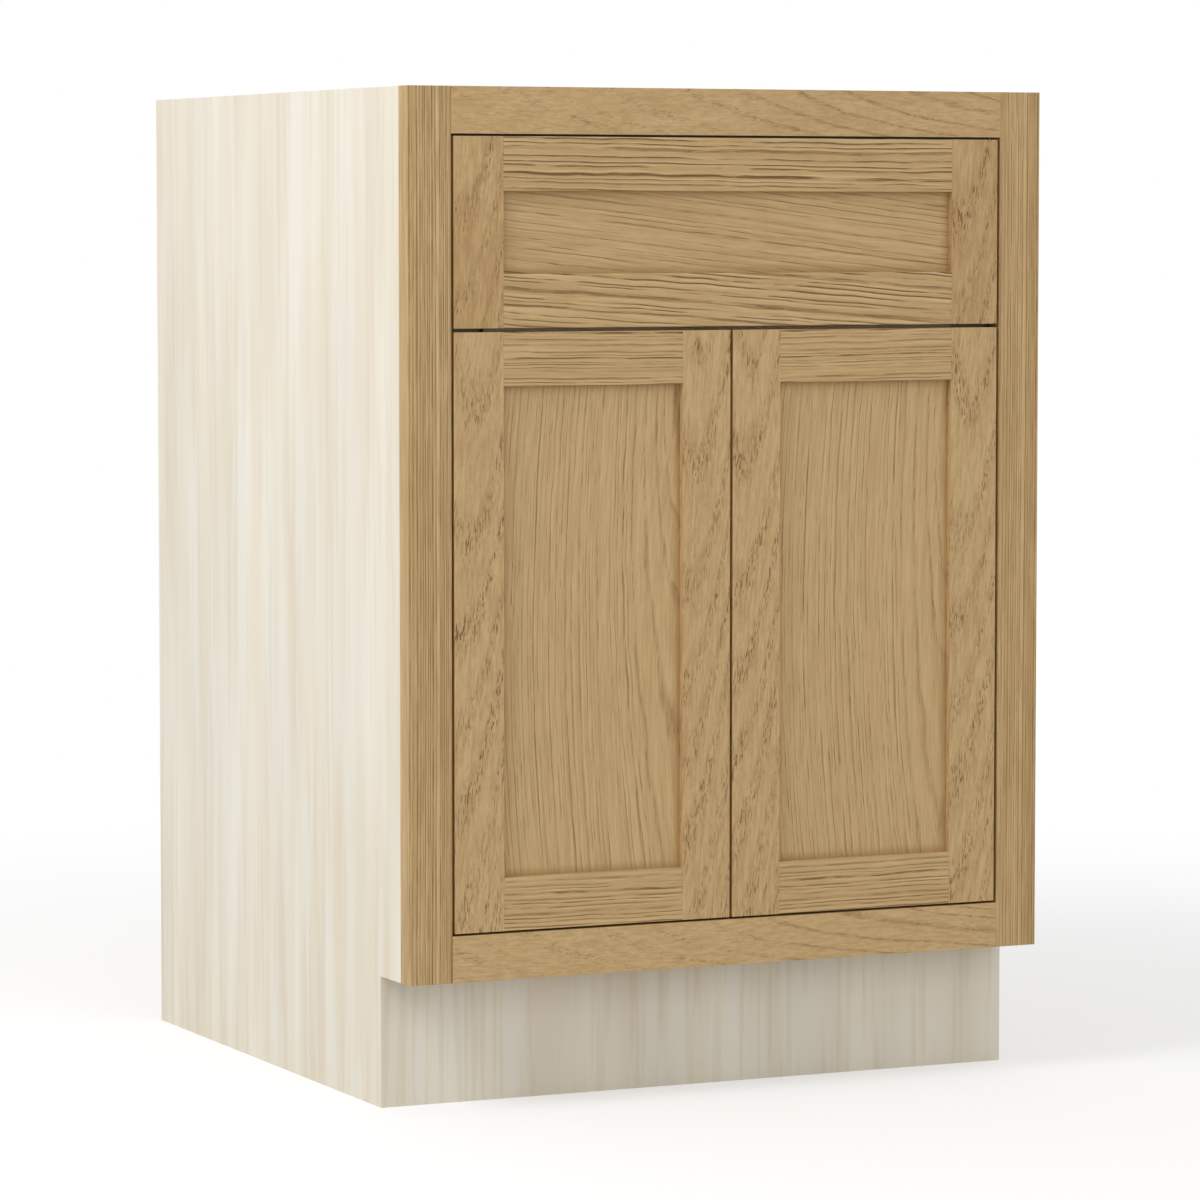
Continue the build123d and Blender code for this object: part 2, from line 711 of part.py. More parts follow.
with BuildPart() as runner_member:
    with BuildSketch(across(drawer_rear_y)):
        outline((channel_low_x, member_bottom_z), (channel_high_x, floor_bottom_z))
        hollow_low = (channel_low_x + runner_wall, member_bottom_z + runner_wall)
        hollow_high = (channel_high_x - runner_wall, floor_bottom_z - runner_wall)
        outline(hollow_low, hollow_high, mode=Mode.SUBTRACT)
        slot_low = (-runner_x - lip_slot_half, member_bottom_z)
        outline(slot_low, (-runner_x + lip_slot_half, member_bottom_z + runner_wall), mode=Mode.SUBTRACT)
    extrude(amount=drawer_rear_y - slide_front_y)
save_pair(runner_member, "drawer_runner")

with BuildPart() as runner_middle:
    inset = runner_wall + runner_play
    lower_low = (channel_low_x + inset, mid_rail_top_z + inset)
    lower_high = (channel_high_x - inset, mid_rail_top_z + channel_height - inset)
    upper_low = (channel_low_x + inset, member_bottom_z + inset)
    upper_high = (channel_high_x - inset, floor_bottom_z - inset)
    with BuildSketch(across(drawer_rear_y)):
        outline(lower_low, lower_high)
        outline(upper_low, upper_high)
        neck_low = (-runner_x - neck_width / 2, lower_low[1])
        outline(neck_low, (-runner_x + neck_width / 2, upper_high[1]))
        offset(amount=-middle_wall, kind=Kind.INTERSECTION, mode=Mode.SUBTRACT)
    extrude(amount=drawer_rear_y - slide_front_y)
save_pair(runner_middle, "runner_middle")

with BuildPart() as runner_rear_brackets:
    bracket_low_x = -runner_x - bracket_width / 2
    bracket_high_x = -runner_x + bracket_width / 2
    with BuildSketch(Plane.YZ.offset(bracket_low_x)):
        flange_low_z = bracket_z - bracket_flange_overhang
        flange_high_z = mid_rail_top_z + channel_height + bracket_flange_overhang
        stem_top_z = mid_rail_top_z + channel_height
        with BuildLine():
            Polyline(
                (channel_rear_y - bracket_ledge, bracket_z),
                (channel_rear_y - bracket_ledge, mid_rail_top_z),
                (channel_rear_y + fit_gap, mid_rail_top_z),
                (channel_rear_y + fit_gap, stem_top_z),
                (back_inner_y - bracket_flange, stem_top_z),
                (back_inner_y - bracket_flange, flange_high_z),
                (back_inner_y, flange_high_z),
                (back_inner_y, flange_low_z),
                (back_inner_y - bracket_flange, flange_low_z),
                (back_inner_y - bracket_flange, bracket_z),
                close=True,
            )
        make_face()
    extrude(amount=bracket_width)
    bracket_screw_zs = (
        flange_low_z + bracket_flange_overhang / 2,
        flange_high_z - bracket_flange_overhang / 2,
    )
    with BuildSketch(across(back_inner_y)):
        with Locations([(-runner_x, z) for z in bracket_screw_zs]):
            small_round(screw_hole_radius)
    extrude(amount=bracket_flange, mode=Mode.SUBTRACT)
    mirror(about=Plane.YZ)
save(runner_rear_brackets, "runner_rear_brackets")

bracket_screw = pan_screw(bracket_flange)
bracket_screw_spots = [(-runner_x, back_inner_y - bracket_flange, z) for z in bracket_screw_zs]
channel_screw = screw(shank_radius, countersink_radius, runner_wall, wood_bite)

with BuildPart() as runner_screws:
    with Locations(facing((0, -1, 0), bracket_screw_spots)):
        add(bracket_screw)
    with Locations((-runner_x, runner_screw_y, mid_rail_top_z)):
        add(channel_screw)
    mirror(about=Plane.YZ)
save(runner_screws, "runner_screws")

with BuildPart() as drawer_locking_clips:
    with BuildSketch(Plane.XY.offset(floor_bottom_z - clip_height)):
        clip_low_x = channel_low_x
        clip_high_x = channel_low_x + clip_width
        outline((clip_low_x, box_inner_front_y), (clip_high_x, box_inner_front_y + clip_length))
        lever_low_x = clip_high_x - lever_width - lever_slot
        slot_low = (lever_low_x, box_inner_front_y)
        outline(slot_low, (lever_low_x + lever_slot, box_inner_front_y + lever_length), mode=Mode.SUBTRACT)
    extrude(amount=clip_height)
    chamfer(drawer_locking_clips.edges().filter_by(Axis.Z).sort_by(Axis.X)[-2:], lever_slot)
    mirror(about=Plane.YZ)
save(drawer_locking_clips, "drawer_locking_clips")

# Concealed hinges: a cup in the door, a pin through its two ears, a bent arm, and a plate on the frame stile

with BuildPart() as hinge_plates:
    with BuildSketch(across(frame_back_y)):
        with Locations(arm_screw_spots):
            plate_outline(plate_width, plate_height)
        with Locations(arm_screw_spots + plate_screw_spots):
            small_round(screw_hole_radius, mode=Mode.SUBTRACT)
    extrude(amount=frame_back_y - plate_back_y)
save_pair(hinge_plates, "hinge_plates")

with BuildPart() as hinge_arms:
    for z in hinge_zs:
        with BuildSketch(Plane.XY.offset(z)):
            with BuildLine():
                FilletPolyline(
                    (pin_x, pin_y),
                    (arm_turn_x, pin_y),
                    (arm_turn_x, arm_y),
                    (arm_end_x, arm_y),
                    radius=arm_bend,
                )
            trace(line_width=arm_thickness)
            with Locations((pin_x, pin_y)):
                Circle(knuckle_radius)
                Circle(pin_radius + knuckle_play, mode=Mode.SUBTRACT)
        extrude(amount=arm_width / 2, both=True)
    with BuildSketch(across(plate_back_y)):
        with Locations(arm_screw_spots):
            small_round(screw_hole_radius)
    extrude(amount=-arm_thickness, mode=Mode.SUBTRACT)
save_pair(hinge_arms, "hinge_arms")

plate_screw = pan_screw(plate_back_y - frame_back_y + wood_bite)
arm_screw = pan_screw(arm_thickness + metal_bite)
arm_back_y = plate_back_y + arm_thickness

with BuildPart() as hinge_plate_screws:
    with Locations(facing((0, 1, 0), [(x, plate_back_y, z) for x, z in plate_screw_spots])):
        add(plate_screw)
    with Locations(facing((0, 1, 0), [(x, arm_back_y, z) for x, z in arm_screw_spots])):
        add(arm_screw)
    mirror(about=Plane.YZ)
save(hinge_plate_screws, "hinge_plate_screws")

with BuildPart() as hinge_cups:
    flange_y = frame_back_y + flange_thickness
    ear_low_x = pin_x - ear_half_width
    ear_high_x = pin_x + ear_half_width
    with BuildSketch(across(frame_back_y)):
        with Locations([(cup_x, z) for z in hinge_zs]):
            Circle(cup_radius)
    extrude(amount=cup_depth)
    with BuildSketch(across(frame_back_y)):
        with Locations([(cup_x, z) for z in hinge_zs]):
            Circle(cup_radius + flange_margin)
        with Locations([(cup_screw_x, z) for z in hinge_zs]):
            plate_outline(flange_wing_width, flange_wing_height)
        with Locations(cup_screw_spots):
            small_round(screw_hole_radius, mode=Mode.SUBTRACT)
    extrude(amount=-flange_thickness)
    with BuildSketch(across(flange_y)):
        for z in hinge_zs:
            with Locations((cup_x, z)):
                Circle(cup_inner_radius)
            for low_z, high_z in ((z + ear_z, z + cup_radius), (z - cup_radius, z - ear_z)):
                outline((ear_low_x, low_z), (ear_high_x, high_z), mode=Mode.SUBTRACT)
    extrude(amount=flange_thickness + cup_depth - cup_wall, mode=Mode.SUBTRACT)
    for z in hinge_zs:
        with BuildSketch(Plane.XY.offset(z)):
            with Locations((pin_x, pin_y)):
                Circle(pin_radius + fit_gap)
        extrude(amount=pin_half_length + fit_gap, both=True, mode=Mode.SUBTRACT)
save_pair(hinge_cups, "hinge_cups")

with BuildPart() as hinge_pins:
    for z in hinge_zs:
        with BuildSketch(Plane.XY.offset(z)):
            with Locations((pin_x, pin_y)):
                Circle(pin_radius)
        extrude(amount=pin_half_length, both=True)
save_pair(hinge_pins, "hinge_pins")

cup_screw = pan_screw(flange_thickness + wood_bite - glue_gap)

with BuildPart() as cup_screws:
    with Locations(facing((0, 1, 0), [(x, flange_y, z) for x, z in cup_screw_spots])):
        add(cup_screw)
save_pair(cup_screws, "cup_screws")
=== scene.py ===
"""Looks of a framed oak kitchen base cabinet: an inset drawer over two inset doors, with pale laminate
sides and toe board, a plywood inside, a dovetailed birch drawer and plated hinges and runners."""
from math import pi, radians

import bmesh
import bpy
from mathutils import Matrix, Vector


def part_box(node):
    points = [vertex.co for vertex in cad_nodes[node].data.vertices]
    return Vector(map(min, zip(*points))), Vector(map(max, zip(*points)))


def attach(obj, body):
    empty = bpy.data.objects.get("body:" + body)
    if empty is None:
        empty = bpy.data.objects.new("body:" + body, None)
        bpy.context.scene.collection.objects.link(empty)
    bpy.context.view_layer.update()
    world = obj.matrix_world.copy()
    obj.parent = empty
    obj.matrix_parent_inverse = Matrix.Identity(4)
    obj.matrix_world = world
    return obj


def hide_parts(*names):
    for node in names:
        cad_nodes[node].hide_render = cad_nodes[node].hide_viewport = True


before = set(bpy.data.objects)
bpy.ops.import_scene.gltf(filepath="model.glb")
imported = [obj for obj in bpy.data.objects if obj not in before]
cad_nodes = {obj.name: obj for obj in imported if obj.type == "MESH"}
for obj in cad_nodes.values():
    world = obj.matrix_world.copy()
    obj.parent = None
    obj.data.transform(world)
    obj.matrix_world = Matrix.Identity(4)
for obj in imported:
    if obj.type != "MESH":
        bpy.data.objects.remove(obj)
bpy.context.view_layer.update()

MM = 0.001


def srgb(red, green, blue):
    """A colour as it shows on a screen, 0 to 255, as the linear colour that a shader takes."""
    def linear(level):
        share = level / 255
        return share / 12.92 if share <= 0.04045 else ((share + 0.055) / 1.055) ** 2.4
    return (linear(red), linear(green), linear(blue), 1.0)


# Oak colours
OAK_PALE = srgb(203, 172, 123)
OAK_DEEP = srgb(184, 150, 99)
OAK_FIBRE = srgb(156, 120, 70)
# The late wood's lighter colour, which is also a painted highlight beside each grain line
OAK_LATE_HIGHLIGHT = srgb(221, 194, 144)
OAK_LINE = srgb(112, 79, 38)
OAK_FLECK = srgb(108, 75, 38)
OAK_BLUSH = srgb(192, 154, 110)
OAK_END = srgb(150, 114, 68)

# Laminate colours
LAMINATE_CREAM = srgb(233, 226, 209)
LAMINATE_BEIGE = srgb(215, 205, 183)
LAMINATE_PINK = srgb(224, 209, 190)
LAMINATE_GREY = srgb(232, 231, 223)
LAMINATE_BROWN = srgb(192, 174, 147)

# Inside colours
VENEER_PALE = srgb(226, 208, 176)
VENEER_DEEP = srgb(208, 184, 147)
VENEER_LINE = srgb(184, 156, 116)
PLY_END = srgb(170, 134, 92)
PLY_GLUE = srgb(120, 86, 56)
BIRCH_PALE = srgb(230, 209, 172)
BIRCH_DEEP = srgb(214, 186, 143)
BIRCH_LINE = srgb(190, 156, 112)
BIRCH_END = srgb(176, 138, 94)

# Hardware colours
ZINC_BRIGHT = srgb(214, 218, 222)
ZINC_DULL = srgb(190, 196, 204)
NICKEL_BRIGHT = srgb(212, 208, 198)
NICKEL_DULL = srgb(190, 185, 174)
PLASTIC_PALE = srgb(122, 124, 127)
PLASTIC_DEEP = srgb(108, 110, 113)
BUMPER_PALE = srgb(236, 236, 232)
BUMPER_DEEP = srgb(220, 221, 216)

# Studio colours: the floor as it lights the cabinet, and as it is seen
WHITE = (1, 1, 1, 1)
FLOOR_LIT = (0.76, 0.76, 0.76, 1)
FLOOR_SEEN = (0.62, 0.62, 0.62, 1)


# Shader nodes, in short

def feed(tree, value, socket):
    """Links a socket to another node's output, or sets its own value."""
    if isinstance(value, bpy.types.NodeSocket):
        tree.links.new(value, socket)
    elif value is not None:
        socket.default_value = value


def put(tree, kind, **values):
    """Adds a node. A capitalised name is an input socket, and any other a property of the node."""
    node = tree.nodes.new("ShaderNode" + kind)
    for name, value in values.items():
        if name[0].isupper():
            feed(tree, value, node.inputs[name.replace("_", " ")])
        else:
            setattr(node, name, value)
    return node


def sum_up(tree, operation, *terms):
    """One step of arithmetic on values."""
    node = put(tree, "Math", operation=operation)
    for term, socket in zip(terms, node.inputs):
        feed(tree, term, socket)
    return node.outputs[0]


def between(tree, value, low, high):
    """0 below low and 1 above high, with a soft step between."""
    return put(tree, "MapRange", interpolation_type="SMOOTHSTEP", Value=value, From_Min=low,
               From_Max=high).outputs["Result"]


def partly(tree, mask, share):
    """A mask with its darkest raised: 1 where it is 1, and 1 - share where it is 0."""
    return sum_up(tree, "MULTIPLY_ADD", mask, share, 1 - share)


def mix(tree, share, first, second):
    """The first colour where share is 0, the second where it is 1."""
    node = put(tree, "Mix", data_type="RGBA")
    colour_sockets = [s for s in node.inputs if s.type == "RGBA"]
    feed(tree, share, node.inputs["Factor"])
    feed(tree, first, colour_sockets[0])
    feed(tree, second, colour_sockets[1])
    return next(s for s in node.outputs if s.type == "RGBA")


def tint(tree, colour, mask, other, strength):
    """A colour with another over it where a mask is 1, at that strength."""
    return mix(tree, sum_up(tree, "MULTIPLY", mask, strength), colour, other)


def scaled(tree, vector, amounts):
    """The vector with each axis multiplied."""
    node = put(tree, "VectorMath", operation="MULTIPLY")
    feed(tree, vector, node.inputs[0])
    feed(tree, amounts, node.inputs[1])
    return node.outputs[0]


def noise(tree, vector, detail=2.0, roughness=0.5):
    """Soft noise of unit scale, 0 to 1."""
    return put(tree, "TexNoise", Vector=vector, Scale=1.0, Detail=detail, Roughness=roughness)


def new_group(name, inputs, outputs):
    """A shader node group with named values in and out. An input without a default is a vector."""
    tree = bpy.data.node_groups.new(name, "ShaderNodeTree")
    for label, default in inputs.items():
        kind = "NodeSocketVector" if default is None else "NodeSocketFloat"
        socket = tree.interface.new_socket(label, in_out="INPUT", socket_type=kind)
        if default is not None:
            socket.default_value = default
    for label in outputs:
        tree.interface.new_socket(label, in_out="OUTPUT", socket_type="NodeSocketFloat")
    return tree, tree.nodes.new("NodeGroupInput").outputs, tree.nodes.new("NodeGroupOutput").inputs


def place(tree, group, **values):
    """Puts a group into a material with its own values."""
    node = tree.nodes.new("ShaderNodeGroup")
    node.node_tree = group
    for name, value in values.items():
        feed(tree, value, node.inputs[name.replace("_", " ")])
    return node.outputs


def new_finish(name, **constants):
    """A material with a Principled shader, whose uniform values are set on its own sockets."""
    material = bpy.data.materials.new(name)
    material.use_nodes = True
    tree = material.node_tree
    shader = tree.nodes["Principled BSDF"]
    for label, value in constants.items():
        shader.inputs[label.replace("_", " ")].default_value = value
    return material, tree, shader


def object_place(tree, location=(0, 0, 0), turn=(0, 0, 0)):
    """The place on the piece, measured from a point and along turned axes, in metres."""
    node = put(tree, "Mapping", vector_type="TEXTURE",
               Vector=put(tree, "TexCoord").outputs["Object"])
    node.inputs["Location"].default_value = location
    node.inputs["Rotation"].default_value = [radians(angle) for angle in turn]
    return node.outputs[0]


def paint(tree, shader, colour):
    """Gives a shader its colour."""
    tree.links.new(colour, shader.inputs["Base Color"])


def roughen(tree, shader, mask, least, spread):
    """Gives a shader a roughness that rises with a mask."""
    feed(tree, sum_up(tree, "MULTIPLY_ADD", mask, spread, least), shader.inputs["Roughness"])


def bump(tree, shader, height, depth):
    """Presses a height map of that depth, in metres, into the surface."""
    node = put(tree, "Bump", Height=height)
    node.inputs["Strength"].default_value = 1.0
    node.inputs["Distance"].default_value = depth
    tree.links.new(node.outputs[0], shader.inputs["Normal"])


# Shared effects

# Noise in a trunk: how many waves or streaks to the metre, across it and along it
SLOW_SWAY = (6.0, 1.6)
FINE_SWAY = (70.0, 23.0)
TONE_STREAKS = (70.0, 2.6)
FIBRE_STREAKS = (430.0, 17.0)
FLECK_CROWDS = (60.0, 14.0)
BREAKS_ACROSS = 230.0
STREAK_ROUGHNESS = 0.65

# The levels of noise from which and to which each kind of streak sets in
TONE_LEVELS = (0.3, 0.7)
FIBRE_LEVELS = (0.32, 0.68)
FLECK_LEVELS = (0.55, 0.62)
CROWD_LEVELS = (0.4, 0.64)
BREAK_LEVELS = (0.4, 0.54)

# Growth rings
RING_DRIFT = 0.31
RING_UNEVENNESS = 2.8
LINE_RISE_SHARE = 0.3
LINE_FALL_SHARE = 0.45
LATE_WOOD = (0.55, 0.9)
YEAR_SPREAD = 0.6
CROWD_SPREAD = 0.5
ROW_SPREAD = 0.8

# Laminate streaks: how many to the metre across and along, and their levels of noise
LAMINATE_STREAKS = {
    "Wide": (15.0, 2.2, 0.3, 0.7),
    "Middle": (46.0, 3.6, 0.44, 0.66),
    "Narrow": (130.0, 5.2, 0.5, 0.68),
    "Hue": (32.0, 3.0, 0.36, 0.64),
}
STREAK_OFFSET = 3.7

# Cut plywood, in plies: how far glue lies from a ply's middle, and a face from the board's surface
GLUE_LEVELS = (0.42, 0.48)
FACE_LEVELS = (-0.36, -0.3)

FACING_LEVELS = (0.75, 0.95)
# How far in from its border the shade painted round a panel reaches
PAINTED_SHADE_WIDTH = 9.0 * MM


def make_wood_grain():
    """Growth rings round a trunk's axis (Z), with the open pores of their early wood as flecks, and their
    late wood as a lighter band, which is also a painted highlight beside each line. A board's faces cut
    through them, so its front, edges and end grain agree. Part is how far along the trunk the board was cut,
    Bow how much the trunk bends aside, and Figure where its lines show."""
    tree, given, result = new_group(
        "wood_grain",
        {"Trunk": None, "Part": 0.0, "Bow": 0.0, "Ring Width": 0.003, "Line Share": 0.4, "Breaks": 0.5,
         "Break Length": 0.1, "Wander": 0.006, "Ripple": 0.001, "Fleck Length": 0.01, "Fleck Width": 0.001,
         "Figure": 1.0},
        ["Lines", "Ridges", "Flecks", "Tone", "Fibre"])
    height = put(tree, "SeparateXYZ", Vector=given["Trunk"]).outputs["Z"]
    aside = sum_up(tree, "MULTIPLY", sum_up(tree, "MULTIPLY", height, height), given["Bow"])
    cut = put(tree, "VectorMath", operation="ADD", Vector=given["Trunk"])
    feed(tree, put(tree, "CombineXYZ", X=aside, Z=given["Part"]).outputs[0], cut.inputs[1])
    trunk = cut.outputs[0]

    def per_metre(length):
        """How many of a given length go to the metre."""
        return sum_up(tree, "DIVIDE", 1.0, given[length])

    def swayed(start, across, along, amount):
        """A place moved about by noise on the trunk."""
        node = put(tree, "VectorMath", operation="MULTIPLY_ADD")
        feed(tree, noise(tree, scaled(tree, trunk, (across, across, along)), 1.0).outputs["Color"],
             node.inputs[0])
        feed(tree, amount, node.inputs[1])
        feed(tree, start, node.inputs[2])
        return node.outputs[0]

    def streaks(start, across, along, levels, detail):
        """Streaks along the trunk, so many to the metre across it and along it."""
        steps = put(tree, "CombineXYZ", X=across, Y=across, Z=along).outputs[0]
        spread = noise(tree, scaled(tree, start, steps), detail, STREAK_ROUGHNESS).outputs[0]
        return between(tree, spread, *levels)

    slow = swayed(trunk, *SLOW_SWAY, given["Wander"])
    fine = swayed(slow, *FINE_SWAY, given["Ripple"])
    parts = put(tree, "SeparateXYZ", Vector=fine).outputs
    radius = put(tree, "VectorMath", operation="LENGTH")
    feed(tree, put(tree, "CombineXYZ", X=parts["X"], Y=parts["Y"]).outputs[0], radius.inputs[0])
    count = sum_up(tree, "DIVIDE", radius.outputs["Value"], given["Ring Width"])
    uneven = put(tree, "TexNoise", noise_dimensions="1D", W=sum_up(tree, "MULTIPLY", count, RING_DRIFT),
                 Scale=1.0, Detail=2.0)
    count = sum_up(tree, "MULTIPLY_ADD", uneven.outputs[0], RING_UNEVENNESS, count)
    part = sum_up(tree, "FRACT", count)
    year = put(tree, "TexWhiteNoise", noise_dimensions="1D", W=sum_up(tree, "FLOOR", count)).outputs["Value"]

    share = given["Line Share"]
    rise = between(tree, part, 0.0, sum_up(tree, "MULTIPLY", share, LINE_RISE_SHARE))
    fall = between(tree, part, sum_up(tree, "MULTIPLY", share, LINE_FALL_SHARE), share)
    early = sum_up(tree, "MULTIPLY", rise, sum_up(tree, "SUBTRACT", 1.0, fall))
    kept = streaks(fine, BREAKS_ACROSS, per_metre("Break Length"), BREAK_LEVELS, detail=2.0)
    kept = sum_up(tree, "ADD", sum_up(tree, "MULTIPLY", kept, given["Breaks"]),
                  sum_up(tree, "SUBTRACT", 1.0, given["Breaks"]))
    strength = sum_up(tree, "MULTIPLY", kept, partly(tree, year, YEAR_SPREAD))
    shown = sum_up(tree, "MULTIPLY", strength, given["Figure"])
    feed(tree, sum_up(tree, "MULTIPLY", early, shown), result["Lines"])
    # Late wood, painted lighter: a band of the wood's own tone that also stands in for the highlight beside
    # each line
    late = sum_up(tree, "MULTIPLY", between(tree, part, *LATE_WOOD), strength)
    feed(tree, late, result["Ridges"])

    flecks = streaks(slow, per_metre("Fleck Width"), per_metre("Fleck Length"), FLECK_LEVELS, detail=1.0)
    crowds = partly(tree, streaks(slow, *FLECK_CROWDS, CROWD_LEVELS, detail=1.0), CROWD_SPREAD)
    rows = partly(tree, early, ROW_SPREAD)
    feed(tree, sum_up(tree, "MULTIPLY", flecks, sum_up(tree, "MULTIPLY", crowds, rows)), result["Flecks"])
    feed(tree, streaks(slow, *TONE_STREAKS, TONE_LEVELS, detail=3.0), result["Tone"])
    feed(tree, streaks(fine, *FIBRE_STREAKS, FIBRE_LEVELS, detail=3.0), result["Fibre"])
    return tree


def make_soft_streaks():
    """Blurred streaks along Z, wide and narrow, with tapered ends."""
    tree, given, result = new_group("soft_streaks", {"Place": None}, list(LAMINATE_STREAKS))
    for label, (across, along, low, high) in LAMINATE_STREAKS.items():
        moved = put(tree, "VectorMath", operation="ADD",
                    Vector=scaled(tree, given["Place"], (across, across, along)))
        moved.inputs[1].default_value = (across, STREAK_OFFSET, along)
        feed(tree, between(tree, noise(tree, moved.outputs[0], 1.0).outputs[0], low, high), result[label])
    return tree


def make_plies():
    """A stack of plies, counted across the board: which way each lies, its glue lines and the outer faces."""
    tree, given, result = new_group("plies", {"Across": 0.0, "Count": 9.0}, ["Crosswise", "Glue", "Face"])
    across = given["Across"]
    part = sum_up(tree, "FRACT", across)
    odd = sum_up(tree, "MODULO", sum_up(tree, "FLOOR", across), 2.0)
    feed(tree, odd, result["Crosswise"])
    middle = sum_up(tree, "ABSOLUTE", sum_up(tree, "SUBTRACT", part, 0.5))
    feed(tree, between(tree, middle, *GLUE_LEVELS), result["Glue"])
    half = sum_up(tree, "MULTIPLY", given["Count"], 0.5)
    from_middle = sum_up(tree, "ABSOLUTE", sum_up(tree, "SUBTRACT", across, half))
    rim = sum_up(tree, "SUBTRACT", from_middle, half)
    feed(tree, between(tree, rim, *FACE_LEVELS), result["Face"])
    return tree


def make_face_mask():
    """1 on the faces of a board that look along an axis, either way: its ends, edges or front and back."""
    tree, given, result = new_group("face_mask", {"Normal": None, "Axis": None}, ["Mask"])
    along = put(tree, "VectorMath", operation="DOT_PRODUCT")
    feed(tree, given["Normal"], along.inputs[0])
    feed(tree, given["Axis"], along.inputs[1])
    facing_it = sum_up(tree, "ABSOLUTE", along.outputs["Value"])
    feed(tree, between(tree, facing_it, *FACING_LEVELS), result["Mask"])
    return tree


def make_painted_recess_shade():
    """1 along the border of a panel's open field, where shade is painted as if cast into the recess, and 0
    further in.
    """
    tree, given, result = new_group(
        "painted_recess_shade", {"Place": None, "Left": 0.0, "Right": 1.0, "Bottom": 0.0, "Top": 1.0}, ["Border"])
    spot = put(tree, "SeparateXYZ", Vector=given["Place"]).outputs
    inside = 1.0
    for axis, low, high in (("X", "Left", "Right"), ("Z", "Bottom", "Top")):
        for inwards in (sum_up(tree, "SUBTRACT", spot[axis], given[low]),
                        sum_up(tree, "SUBTRACT", given[high], spot[axis])):
            inside = sum_up(tree, "MULTIPLY", inside, between(tree, inwards, 0.0, PAINTED_SHADE_WIDTH))
    feed(tree, sum_up(tree, "SUBTRACT", 1.0, inside), result["Border"])
    return tree


wood_grain = make_wood_grain()
soft_streaks = make_soft_streaks()
plies = make_plies()
face_mask = make_face_mask()
painted_recess_shade = make_painted_recess_shade()


def faces_along(tree, axis):
    """The mask of a board's faces that look along X, Y or Z."""
    return place(tree, face_mask, Normal=put(tree, "TexCoord").outputs["Normal"],
                 Axis=[float(name == axis) for name in "XYZ"])["Mask"]


def painted_shade_border(tree, left, right, bottom, top):
    """The mask of a panel's border, where shade is painted into its recess. The stiles and rails round it are
    named.
    """
    return place(tree, painted_recess_shade, Place=object_place(tree), Left=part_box(left)[1].x,
                 Right=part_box(right)[0].x, Bottom=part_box(bottom)[1].z, Top=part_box(top)[0].z)["Border"]


def dress(node, material):
    """Gives a CAD node its finish."""
    cad_nodes[node].material_slots[0].material = material


# Oak

OAK_STEP = 1.3  # metres of trunk from one board to the next
EDGE_LOSS = 0.85  # the share of its lines that a board's edge loses
END_STRENGTH = 0.5
# How dark the shade painted round a panel's border is
PAINTED_SHADE_STRENGTH = 0.45
FLECK_DENT = 0.6  # depths, as shares of a line's
FIBRE_DENT = 0.15


def oak(node, along, pith, turn, ring, line, fleck, share, ridge_highlight, breaks=0.5, break_length=100.0, wander=4.0,
        ripple=0.8, fleck_length=24.0, fleck_width=1.7, blush=0.0, relief=0.12, tone=0.6, fibre=0.35,
        bow=0.0, border=None, figure=None):
    """An oak board, its lengths in mm. along is the axis of its grain; pith is how far the trunk's heart lies
    aside of and behind the middle of its face; turn is its lean in the face and its dive into it, in degrees.
    ring is the width of a year's ring and share the part of it that is a line. line, fleck, blush, tone and
    fibre are strengths of colour, and so is the strength given for the lighter late wood, which is also a
    painted highlight beside each line. bow is how much the trunk bends aside, per metre. border names the
    pieces round a panel: left, right, bottom and top; shade is painted along them, as if cast into the
    panel's recess. figure says between which places along X its lines set in."""
    low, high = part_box(node)
    middle = (low + high) / 2
    aside, behind = pith
    lean, dive = turn
    if along == "Z":
        heart = Vector((middle.x + aside * MM, low.y + behind * MM, middle.z))
        axes = (dive, lean, 0)
    else:
        heart = Vector((middle.x, low.y + behind * MM, middle.z + aside * MM))
        axes = (0, 90 + lean, dive)
    trunk_part = OAK_STEP * len(bpy.data.materials)
    material, tree, shader = new_finish("oak_" + node, Specular_IOR_Level=0.3)
    shown = None
    if figure:
        across = put(tree, "SeparateXYZ", Vector=object_place(tree)).outputs["X"]
        shown = between(tree, across, figure[0] * MM, figure[1] * MM)
    grain = place(tree, wood_grain, Trunk=object_place(tree, heart, axes), Part=trunk_part, Bow=bow,
                  Ring_Width=ring * MM, Line_Share=share, Breaks=breaks, Break_Length=break_length * MM,
                  Wander=wander * MM, Ripple=ripple * MM, Fleck_Length=fleck_length * MM,
                  Fleck_Width=fleck_width * MM, Figure=shown)
    colour = tint(tree, OAK_PALE, grain["Tone"], OAK_DEEP, tone)
    if blush:
        colour = tint(tree, colour, grain["Tone"], OAK_BLUSH, blush)
    colour = tint(tree, colour, grain["Fibre"], OAK_FIBRE, fibre)
    # The late wood painted lighter, partly the wood's tone and partly a painted highlight beside each line
    colour = tint(tree, colour, grain["Ridges"], OAK_LATE_HIGHLIGHT, ridge_highlight)
    edge = faces_along(tree, "X" if along == "Z" else "Z")
    lines = sum_up(tree, "MULTIPLY", grain["Lines"], sum_up(tree, "MULTIPLY_ADD", edge, -EDGE_LOSS, 1.0))
    colour = tint(tree, colour, lines, OAK_LINE, line)
    colour = tint(tree, colour, grain["Flecks"], OAK_FLECK, fleck)
    colour = tint(tree, colour, faces_along(tree, along), OAK_END, END_STRENGTH)
    # Shade painted along the panel's border, as if cast into its recess by the stiles and rails round it
    if border:
        colour = tint(tree, colour, painted_shade_border(tree, *border), OAK_FIBRE, PAINTED_SHADE_STRENGTH)
    paint(tree, shader, colour)
    roughen(tree, shader, lines, least=0.46, spread=0.2)
    dents = sum_up(tree, "MULTIPLY_ADD", grain["Flecks"], FLECK_DENT, lines)
    height = sum_up(tree, "MULTIPLY_ADD", grain["Fibre"], -FIBRE_DENT, sum_up(tree, "SUBTRACT", 1.0, dents))
    bump(tree, shader, height, relief * MM)
    dress(node, material)


